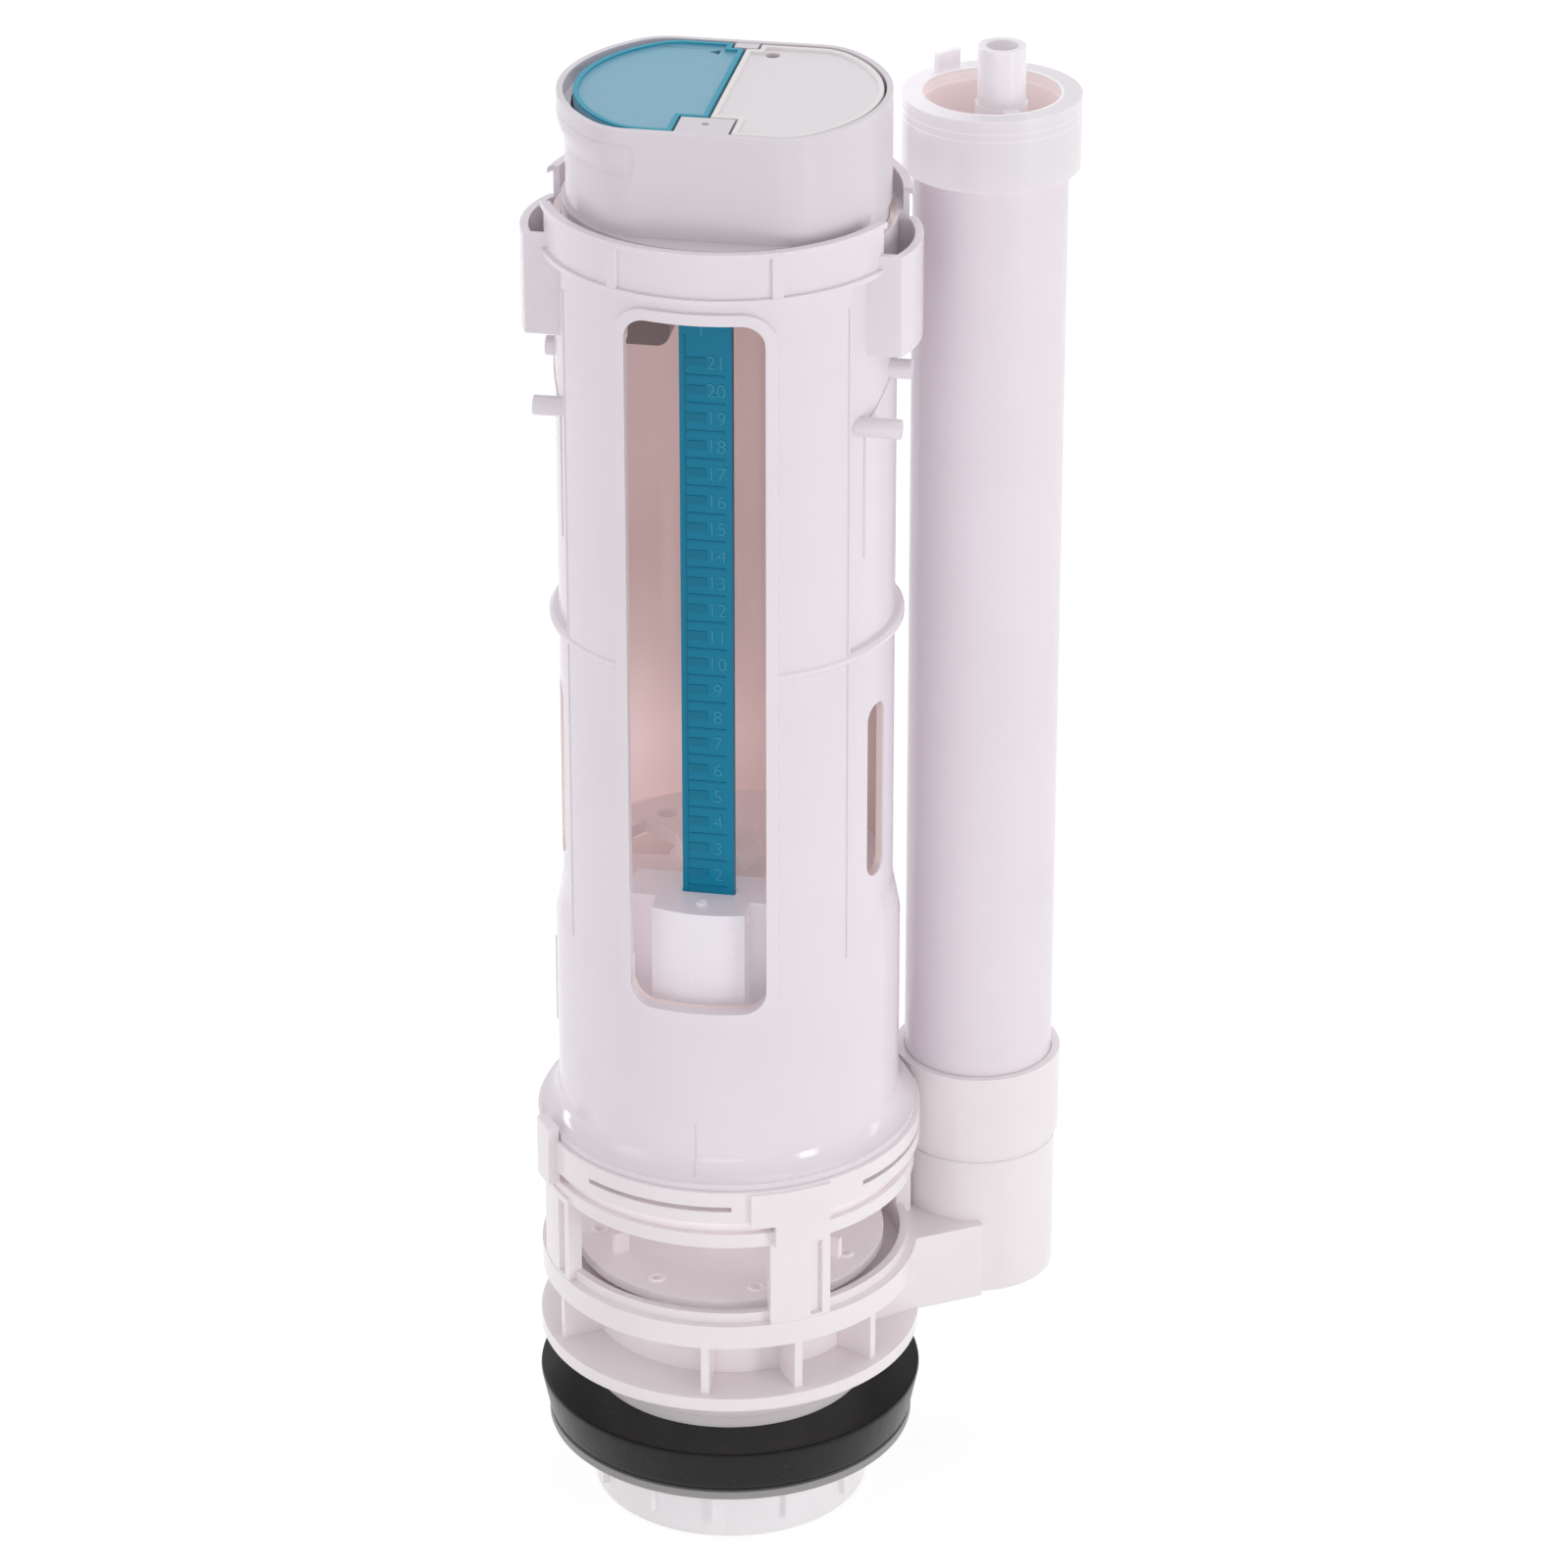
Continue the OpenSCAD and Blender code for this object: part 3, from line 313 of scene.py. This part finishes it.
WELD = 2e-6
FLAT_ANGLE = 0.6
BEVEL_ANGLE = 32
BEVEL_STEPS = 2
SMOOTH_ANGLE = 40


def finish_of(node):
    return MATERIALS[FINISH.get(node, SLOT_OF[node])]


def place_piece(obj, node):
    """Link a finished piece and let it ride with a CAD node's body."""
    if obj.name not in bpy.context.scene.collection.objects:
        bpy.context.scene.collection.objects.link(obj)
    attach(obj, BODY_OF[node])


def smooth_by_angle(mesh):
    """Round shading except across sharp edges."""
    limit = math.radians(SMOOTH_ANGLE)
    bm = bmesh.new()
    bm.from_mesh(mesh)
    for face in bm.faces:
        face.smooth = True
    for edge in bm.edges:
        edge.smooth = len(edge.link_faces) == 2 and edge.calc_face_angle(math.pi) < limit
    bm.to_mesh(mesh)
    bm.free()


def plain_mesh(obj):
    """The mesh that an object's modifiers or curve make."""
    return bpy.data.meshes.new_from_object(obj.evaluated_get(bpy.context.evaluated_depsgraph_get()))


def apply_modifiers(obj):
    mesh = plain_mesh(obj)
    obj.modifiers.clear()
    obj.data = mesh


def soften(node, width):
    """A copy of a CAD node with rounded edges, shown in its place."""
    mesh = NODES[node].data.copy()
    mesh.name = node + "_soft"
    bm = bmesh.new()
    bm.from_mesh(mesh)
    bmesh.ops.remove_doubles(bm, verts=bm.verts, dist=WELD)
    bmesh.ops.dissolve_limit(bm, angle_limit=math.radians(FLAT_ANGLE), verts=bm.verts, edges=bm.edges)
    bmesh.ops.recalc_face_normals(bm, faces=bm.faces)
    bm.to_mesh(mesh)
    bm.free()
    obj = bpy.data.objects.new(node + "_soft", mesh)
    bpy.context.scene.collection.objects.link(obj)
    bevel = obj.modifiers.new("round", "BEVEL")
    bevel.width = width * MM
    bevel.segments = BEVEL_STEPS
    bevel.limit_method = "ANGLE"
    bevel.angle_limit = math.radians(BEVEL_ANGLE)
    bevel.use_clamp_overlap = True
    bevel.miter_outer = "MITER_ARC"
    apply_modifiers(obj)
    smooth_by_angle(obj.data)
    even = obj.modifiers.new("even", "WEIGHTED_NORMAL")
    even.keep_sharp = True
    apply_modifiers(obj)
    obj.data.materials.clear()
    obj.data.materials.append(finish_of(node))
    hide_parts(node)
    place_piece(obj, node)


SOFT_WIDTH = {
    "base_housing": 0.35, "shank_nut": 0.4, "slip_washer": 0.3, "tank_gasket": 0.9, "overflow_tube": 0.3,
    "overflow_cap": 0.6, "tower": 0.3, "button_head": 0.5, "full_button": 0.3, "half_button": 0.3,
    "guide_spider": 0.4, "seal_plate": 0.3, "half_float": 0.7, "scale_rod": 0.2,
}
for name, obj in NODES.items():
    obj.data.materials.clear()
    obj.data.materials.append(MATERIALS[SLOT_OF[name]])
for name, wide in SOFT_WIDTH.items():
    soften(name, wide)
for name, joint in (("full_spring", "full_press"), ("half_spring", "half_press")):
    copy = bpy.data.objects.new(name + "_wire", NODES[name].data.copy())
    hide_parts(name)
    place_piece(copy, name)
    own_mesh(copy)


# Node groups for what repeats or follows a line

WIRE_SIDES = 8
RING_STEPS = 96


def new_group(name, inputs):
    """Node group with the given inputs, and its input and output nodes."""
    group = bpy.data.node_groups.new(name, "GeometryNodeTree")
    for label, kind in inputs:
        group.interface.new_socket(label, in_out="INPUT", socket_type="NodeSocket" + kind)
    group.interface.new_socket("Finish", in_out="INPUT", socket_type="NodeSocketMaterial")
    group.interface.new_socket("Geometry", in_out="OUTPUT", socket_type="NodeSocketGeometry")
    return group, group.nodes.new("NodeGroupInput"), group.nodes.new("NodeGroupOutput")


def end_group(group, given, out, geometry):
    """Close a group with real geometry in its finish."""
    real = group.nodes.new("GeometryNodeRealizeInstances")
    paint = group.nodes.new("GeometryNodeSetMaterial")
    group.links.new(geometry, real.inputs["Geometry"])
    group.links.new(real.outputs["Geometry"], paint.inputs["Geometry"])
    group.links.new(given.outputs["Finish"], paint.inputs["Material"])
    group.links.new(paint.outputs["Geometry"], out.inputs["Geometry"])
    return group


def row_group():
    """Straight row of equal blocks."""
    inputs = (("Count", "Int"), ("Start", "Vector"), ("Step", "Vector"), ("Size", "Vector"))
    group, given, out = new_group("block_row", inputs)
    add, link = group.nodes.new, group.links.new
    line, block = add("GeometryNodeMeshLine"), add("GeometryNodeMeshCube")
    spread = add("GeometryNodeInstanceOnPoints")
    link(given.outputs["Count"], line.inputs["Count"])
    link(given.outputs["Start"], line.inputs["Start Location"])
    link(given.outputs["Step"], line.inputs["Offset"])
    link(given.outputs["Size"], block.inputs["Size"])
    link(line.outputs["Mesh"], spread.inputs["Points"])
    link(block.outputs["Mesh"], spread.inputs["Instance"])
    return end_group(group, given, out, spread.outputs["Instances"])


def swept(group, given, curve):
    """Round wire along a curve, in a group that has a wire radius."""
    wire = group.nodes.new("GeometryNodeCurvePrimitiveCircle")
    wire.inputs["Resolution"].default_value = WIRE_SIDES
    sweep = group.nodes.new("GeometryNodeCurveToMesh")
    group.links.new(given.outputs["Wire Radius"], wire.inputs["Radius"])
    group.links.new(curve, sweep.inputs["Curve"])
    group.links.new(wire.outputs["Curve"], sweep.inputs["Profile Curve"])
    return sweep


def ring_group():
    """Flat rings of round wire, one on each point of a mesh."""
    inputs = (("Points", "Geometry"), ("Ring Radius", "Float"), ("Wire Radius", "Float"))
    group, given, out = new_group("wire_rings", inputs)
    add, link = group.nodes.new, group.links.new
    ring, smooth = add("GeometryNodeCurvePrimitiveCircle"), add("GeometryNodeSetShadeSmooth")
    spread = add("GeometryNodeInstanceOnPoints")
    ring.inputs["Resolution"].default_value = RING_STEPS
    link(given.outputs["Ring Radius"], ring.inputs["Radius"])
    link(swept(group, given, ring.outputs["Curve"]).outputs["Mesh"], smooth.inputs["Geometry"])
    link(given.outputs["Points"], spread.inputs["Points"])
    link(smooth.outputs["Geometry"], spread.inputs["Instance"])
    return end_group(group, given, out, spread.outputs["Instances"])


def ridge_group():
    """Round ridge along a chain of points."""
    group, given, out = new_group("ridge", (("Points", "Geometry"), ("Wire Radius", "Float")))
    line = group.nodes.new("GeometryNodeMeshToCurve")
    group.links.new(given.outputs["Points"], line.inputs["Mesh"])
    sweep = swept(group, given, line.outputs["Curve"])
    sweep.inputs["Fill Caps"].default_value = True
    return end_group(group, given, out, sweep.outputs["Mesh"])


BLOCK_ROW = row_group()
WIRE_RINGS = ring_group()
RIDGE = ridge_group()


# Trim, with lengths in millimetres and angles in degrees

# Radius where rays at a wall start, and how much of its type size a figure fills
OUTSIDE = 60
FIGURE_SHARE = 0.7

# Scale rod. A row of ticks has its middle from the rod's left edge, width, rise above the foot and height.
SCALE_FOOT, SCALE_END = 143.4, 268
SCALE_PITCH, SCALE_STEPS, FIRST_FIGURE = 6.24, 20, 2
MARK_DEPTH, MARK_LIFT = 0.26, 0.02
TICKS = (("short_ticks", 3.5, 4.2, 0.2, 1.9), ("long_ticks", 5.5, 8.3, -2.9, 0.4))
BORDER_X, BORDER_WIDE, BORDER_DROP = 1.25, 0.25, 4
FIGURE_X, FIGURE_TALL = 7.9, 3.0
TOP_MARK, TOP_MARK_SIZE = (-1.3, -20.75, 269.2), (0.5, MARK_DEPTH, 2.4)

# Tower. A panel's side has the angle of its edge and of its foot on the core.
PANEL_R, CORE_R = 37.58, 36.0
PANEL_FOOT, CORE_FOOT, PANEL_TOP = 127, 137, 277
PANEL_WIRE, CORE_WIRE = 0.16, 0.25
PANEL_SIDES = (("right", -37, -34.1), ("left", -143, -145.9),
               ("back_right", 37, 34.1), ("back_left", 143, 145.9))
RECESS_ANGLE, RECESS_FOOT, RECESS_BEND, RECESS_WIRE = -26.5, 218.5, 248.5, 0.3
RECESS_STEPS, RECESS_TURN, RECESS_RISE = 8, 3.5, 1.2
PARTING_ANGLE, PARTING_SINK, PARTING_WIRE = -90.6, 0.02, 0.12
PARTING_HEIGHTS = (79.4, 80, 81, 82, 83, 84, 85, 86, 87, 89, 91)
FLARE_Z = 78.6

# Cove under the head's rim
COVE_HEIGHTS = (311.6, 311.0, 310.4, 309.4, 308.4, 307.4, 306.4, 305.4, 304.5)
COVE_WALL, COVE_RIM, COVE_END = 305.5, 312.5, 310.4
COVE_TURN = 2
COVE_FADE, COVE_SPAN, COVE_SINK, COVE_DEPTH = 0.15, 0.08, 0.05, 0.4

# Cap, socket, drum, seal plate and float
CAP_THROAT = ((14.95, 305.5), (14.95, 303.3), (14.8, 303.3), (14.8, 305.5))
CAP_RIM_HEIGHTS = (305.6, 290.2)
CAP_LIP_Z = 305.7
LEDGE_Z = 57.8
SHOULDER_HEIGHTS = (13.4, 16.2)
PLATE_HOLES = (-164, -113, -68, -18, 26, 70, 114, 155)
PLATE_HOLE_R, PLATE_TOP = 29.2, 45.4
DIMPLE = (-0.8, -26.3, 139.3)


def spot(x, y, z):
    return (x * MM, y * MM, z * MM)


def round_wall(r, angle, z):
    return (r * math.cos(math.radians(angle)), r * math.sin(math.radians(angle)), z)


def grown(name, node, group, values, points=(), chained=False):
    """Piece of a node group with the given inputs, on the given points."""
    base = bpy.data.meshes.new(name)
    chain = [(k, k + 1) for k in range(len(points) - 1)] if chained else []
    base.from_pydata([spot(*p) for p in points], chain, [])
    obj = bpy.data.objects.new(name, base)
    bpy.context.scene.collection.objects.link(obj)
    tool = obj.modifiers.new("grow", "NODES")
    tool.node_group = group
    for item in group.interface.items_tree:
        if item.in_out == "INPUT" and item.name in values:
            tool[item.identifier] = values[item.name]
    apply_modifiers(obj)
    place_piece(obj, node)


def block_row(name, node, finish, count, start, step, size):
    grown(name, node, BLOCK_ROW, {"Count": count, "Start": spot(*start), "Step": spot(*step),
                                  "Size": spot(*size), "Finish": MATERIALS[finish]})


def wire_rings(name, node, radius, wire, points, finish=None):
    finish = MATERIALS[finish] if finish else finish_of(node)
    values = {"Ring Radius": radius * MM, "Wire Radius": wire * MM, "Finish": finish}
    grown(name, node, WIRE_RINGS, values, points)


def seam(name, node, wire, points):
    """Thin round ridge along a line on a wall, sunk halfway into it."""
    grown(name, node, RIDGE, {"Wire Radius": wire * MM, "Finish": finish_of(node)}, points, chained=True)


def lofted(name, node, finish, loops):
    """Closed band through equal loops of points, one loop for each step round an axis."""
    count = len(loops[0])
    faces = []
    for k in range(len(loops)):
        a, b = k * count, (k + 1) % len(loops) * count
        for j in range(count):
            n = (j + 1) % count
            faces.append((a + j, a + n, b + n, b + j))
    mesh = bpy.data.meshes.new(name)
    mesh.from_pydata([spot(*p) for loop in loops for p in loop], [], faces)
    smooth_by_angle(mesh)
    mesh.materials.append(MATERIALS[finish])
    place_piece(bpy.data.objects.new(name, mesh), node)


def solid_of(node):
    """Tree of a CAD node's faces, to send rays at."""
    source = NODES[node].data
    faces = [tuple(p.vertices) for p in source.polygons]
    return BVHTree.FromPolygons([v.co for v in source.vertices], faces)


def wall_r(solid, angle, z):
    """Outer radius of a wall round the main axis."""
    out = Vector(round_wall(1, angle, 0))
    start = out * OUTSIDE * MM + Vector(spot(0, 0, z))
    return solid.ray_cast(start, -out)[0].xy.length / MM


def figure_mesh(text, height, thick):
    """Mesh of a plain figure that faces the front, centred on the origin."""
    curve = bpy.data.curves.new("figure", "FONT")
    curve.body = text
    curve.size = height * MM / FIGURE_SHARE
    curve.extrude = thick * MM / 2
    curve.align_x, curve.align_y = "CENTER", "CENTER"
    obj = bpy.data.objects.new("figure", curve)
    bpy.context.scene.collection.objects.link(obj)
    mesh = plain_mesh(obj)
    mesh.transform(Matrix.Rotation(math.pi / 2, 4, "X"))
    bpy.data.objects.remove(obj)
    bpy.data.curves.remove(curve)
    return mesh


def rod_scale():
    """Raised ticks, border line and plain figures on the front of the scale rod. The ticks and border are a
    darker blue as painted shade, and the figures a lighter blue as painted highlight.
    """
    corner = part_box("scale_rod")[0] / MM
    left, front = corner.x, corner.y - MARK_LIFT
    for name, middle, wide, up, tall in TICKS:
        block_row("rod_" + name, "scale_rod", "blue_mark_shade", count=SCALE_STEPS,
                  start=(left + middle, front, SCALE_FOOT + up), step=(0, 0, SCALE_PITCH),
                  size=(wide, MARK_DEPTH, tall))
    foot = SCALE_FOOT - BORDER_DROP
    block_row("rod_border", "scale_rod", "blue_mark_shade", count=1,
              start=(left + BORDER_X, front, (foot + SCALE_END) / 2), step=(0, 0, 1),
              size=(BORDER_WIDE, MARK_DEPTH, SCALE_END - foot))
    bm = bmesh.new()
    for n in range(SCALE_STEPS):
        mesh = figure_mesh(str(n + FIRST_FIGURE), FIGURE_TALL, MARK_DEPTH)
        mesh.transform(Matrix.Translation(spot(left + FIGURE_X, front, SCALE_FOOT + n * SCALE_PITCH)))
        bm.from_mesh(mesh)
        bpy.data.meshes.remove(mesh)
    mesh = bpy.data.meshes.new("rod_figures")
    bm.to_mesh(mesh)
    bm.free()
    mesh.materials.append(MATERIALS["blue_figure_highlight"])
    place_piece(bpy.data.objects.new("rod_figures", mesh), "scale_rod")


def tower_seams():
    """Edges of the panels, side recesses and flare, and the mould's parting line on the flare."""
    edge = [(RECESS_ANGLE, RECESS_FOOT)]
    for k in range(RECESS_STEPS):
        edge.append((RECESS_ANGLE + RECESS_TURN * k, RECESS_BEND + RECESS_RISE * k))
    seam("recess_right", "tower", RECESS_WIRE, [round_wall(CORE_R, a, z) for a, z in edge])
    seam("recess_left", "tower", RECESS_WIRE, [round_wall(CORE_R, 180 - a, z) for a, z in edge])
    solid = solid_of("tower")
    parting = []
    for z in PARTING_HEIGHTS:
        parting.append(round_wall(wall_r(solid, PARTING_ANGLE, z) - PARTING_SINK, PARTING_ANGLE, z))
    seam("parting_line", "tower", PARTING_WIRE, parting)
    for side, panel, core in PANEL_SIDES:
        seam("panel_edge_" + side, "tower", PANEL_WIRE,
             [round_wall(PANEL_R, panel, z) for z in (PANEL_FOOT, PANEL_TOP)])
        seam("panel_foot_" + side, "tower", CORE_WIRE,
             [round_wall(CORE_R, core, z) for z in (CORE_FOOT, PANEL_TOP)])
    wire_rings("flare_edge", "tower", radius=41.2, wire=0.25, points=[(0, 0, FLARE_Z)])


def head_cove():
    """Smooth flare that leads the head's wall out to its wider rim. It sinks into the wall where the rim
    doesn't stand out."""
    solid = solid_of("button_head")
    top, foot = COVE_HEIGHTS[0], COVE_HEIGHTS[-1]
    loops = []
    for angle in range(0, 360, COVE_TURN):
        wall, rim = (wall_r(solid, angle, z) for z in (COVE_WALL, COVE_RIM))
        rise = rim - wall
        offset = min(max(rise / COVE_FADE, 0), 1) * COVE_SPAN - COVE_SINK
        loop = []
        for z in COVE_HEIGHTS:
            part = min((z - foot) / (COVE_END - foot), 1)
            loop.append(round_wall(wall + rise * part * part * (3 - 2 * part) + offset, angle, z))
        loops.append(loop + [round_wall(wall - COVE_DEPTH, angle, z) for z in (foot, top)])
    lofted("head_cove", "button_head", "head_white", loops)


def tube_trim():
    """Band inside the cap's mouth in the tube's colour and glow, painting light over the cap's shaded inner
    wall; pale glowing rings on the cap's rims and lip as painted highlights; and the socket's ledge.
    """
    low, high = (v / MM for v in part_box("overflow_cap"))
    x, y = (low.x + high.x) / 2, (low.y + high.y) / 2
    loops = []
    for k in range(RING_STEPS):
        loop = [round_wall(r, 360 / RING_STEPS * k, z) for r, z in CAP_THROAT]
        loops.append([(px + x, py + y, pz) for px, py, pz in loop])
    # Painted light: a band in the tube's glowing inside finish over the cap's shaded inner wall.
    lofted("cap_throat_painted_light", "overflow_cap", "tube_white", loops)
    # Painted highlight lines on the cap's rims and lip.
    wire_rings("cap_rim_highlight", "overflow_cap", radius=18.7, wire=0.3, points=[(x, y, z) for z in CAP_RIM_HEIGHTS],
               finish="cap_highlight")
    wire_rings("cap_lip_highlight", "overflow_cap", radius=14.9, wire=0.35, points=[(x, y, CAP_LIP_Z)],
               finish="cap_highlight")
    wire_rings("socket_ledge", "base_housing", radius=17.6, wire=0.2, points=[(x, y, LEDGE_Z)])


rod_scale()
tower_seams()
head_cove()
# The top mark is a lighter blue: painted highlight.
block_row("rod_top_mark", "scale_rod", "blue_figure_highlight", count=1, start=TOP_MARK, step=(0, 0, 1),
          size=TOP_MARK_SIZE)
wire_rings("plate_rims", "seal_plate", radius=1.5, wire=0.5,
           points=[round_wall(PLATE_HOLE_R, a, PLATE_TOP) for a in PLATE_HOLES])
wire_rings("float_dimple", "half_float", radius=0.9, wire=0.35, points=[DIMPLE])
tube_trim()
wire_rings("shoulder_lines", "base_housing", radius=31, wire=0.16,
           points=[(0, 0, z) for z in SHOULDER_HEIGHTS])


# Stage, light and camera

FLOOR_LIGHT = 1.25
FLOOR_SHARE = 0.65
FLOOR_SIZE = 6
FLOOR_GAP = 0.0005
SKY_SEEN, SKY_LIGHT = 1.0, 0.58
MIDDLE = (0.01, 0, 0.13)
LIGHTS = (
    ("key_right", (0.98, -0.55, 0.06), (0.02, 0, 0.06), (0.22, 0.8), 4.4),
    ("front", (0.1, -1.2, 0.02), (0.01, 0, 0.03), (0.7, 0.4), 2),
    ("fill_left", (-1.2, -0.9, 0.5), MIDDLE, (0.6, 1.0), 2.4),
    ("rim_left", (-1.15, 0.45, 0.2), MIDDLE, (0.16, 0.9), 2.5),
    ("rim_right", (1.1, 0.5, 0.2), MIDDLE, (0.16, 0.9), 1.1),
    ("top", (0.1, 0.3, 1.5), MIDDLE, (1.0, 1.0), 4),
)


def seen_straight(tree):
    """1 for what the camera sees directly, by reflection or by transmission."""
    path = tree.nodes.new("ShaderNodeLightPath")
    through = math_node(tree, "MAXIMUM", path.outputs["Is Glossy Ray"], path.outputs["Is Transmission Ray"])
    return math_node(tree, "MAXIMUM", path.outputs["Is Camera Ray"], through)


def stage_material():
    """Plain pale floor that reads as white from the camera, with a faint shadow."""
    mat = bpy.data.materials.new("stage_floor")
    mat.use_nodes = True
    tree = mat.node_tree
    tree.nodes.clear()
    out = tree.nodes.new("ShaderNodeOutputMaterial")
    mix = tree.nodes.new("ShaderNodeMixShader")
    flat = tree.nodes.new("ShaderNodeEmission")
    matte = tree.nodes.new("ShaderNodeBsdfDiffuse")
    flat.inputs["Strength"].default_value = FLOOR_LIGHT
    matte.inputs["Color"].default_value = (0.9, 0.89, 0.9, 1)
    tree.links.new(math_node(tree, "MULTIPLY", seen_straight(tree), FLOOR_SHARE), mix.inputs[0])
    tree.links.new(matte.outputs[0], mix.inputs[1])
    tree.links.new(flat.outputs[0], mix.inputs[2])
    tree.links.new(mix.outputs[0], out.inputs["Surface"])
    return mat


def area_light(name, at, towards, size, power):
    data = bpy.data.lights.new(name, "AREA")
    data.shape = "RECTANGLE"
    data.size, data.size_y = size
    data.energy = power
    obj = bpy.data.objects.new(name, data)
    obj.location = at
    obj.rotation_euler = (Vector(towards) - Vector(at)).to_track_quat("-Z", "Y").to_euler()
    bpy.context.scene.collection.objects.link(obj)


floor_mesh = bpy.data.meshes.new("stage_floor")
corners = [(x * FLOOR_SIZE, y * FLOOR_SIZE, 0) for x, y in ((-1, -1), (1, -1), (1, 1), (-1, 1))]
floor_mesh.from_pydata(corners, [], [(0, 1, 2, 3)])
floor_mesh.materials.append(stage_material())
floor = bpy.data.objects.new("stage_floor", floor_mesh)
floor.location.z = start_bounds[0].z - FLOOR_GAP
bpy.context.scene.collection.objects.link(floor)

world = bpy.data.worlds.new("studio")
bpy.context.scene.world = world
world.use_nodes = True
sky = world.node_tree
background = sky.nodes["Background"]
background.inputs["Color"].default_value = (0.97, 0.97, 1.0, 1)
extra = math_node(sky, "MULTIPLY", seen_straight(sky), SKY_SEEN - SKY_LIGHT)
sky.links.new(math_node(sky, "ADD", extra, SKY_LIGHT), background.inputs["Strength"])

for light in LIGHTS:
    area_light(*light)

camera_data = bpy.data.cameras.new("photo_camera")
camera_data.lens = 147.3
camera_data.sensor_width = 36
camera = bpy.data.objects.new("photo_camera", camera_data)
camera.location = (0.2276, -1.2281, 0.769)
camera.rotation_euler = (math.radians(63.82), 0, math.radians(9.94))
bpy.context.scene.collection.objects.link(camera)
bpy.context.scene.camera = camera
bpy.context.scene.view_settings.view_transform = "Standard"
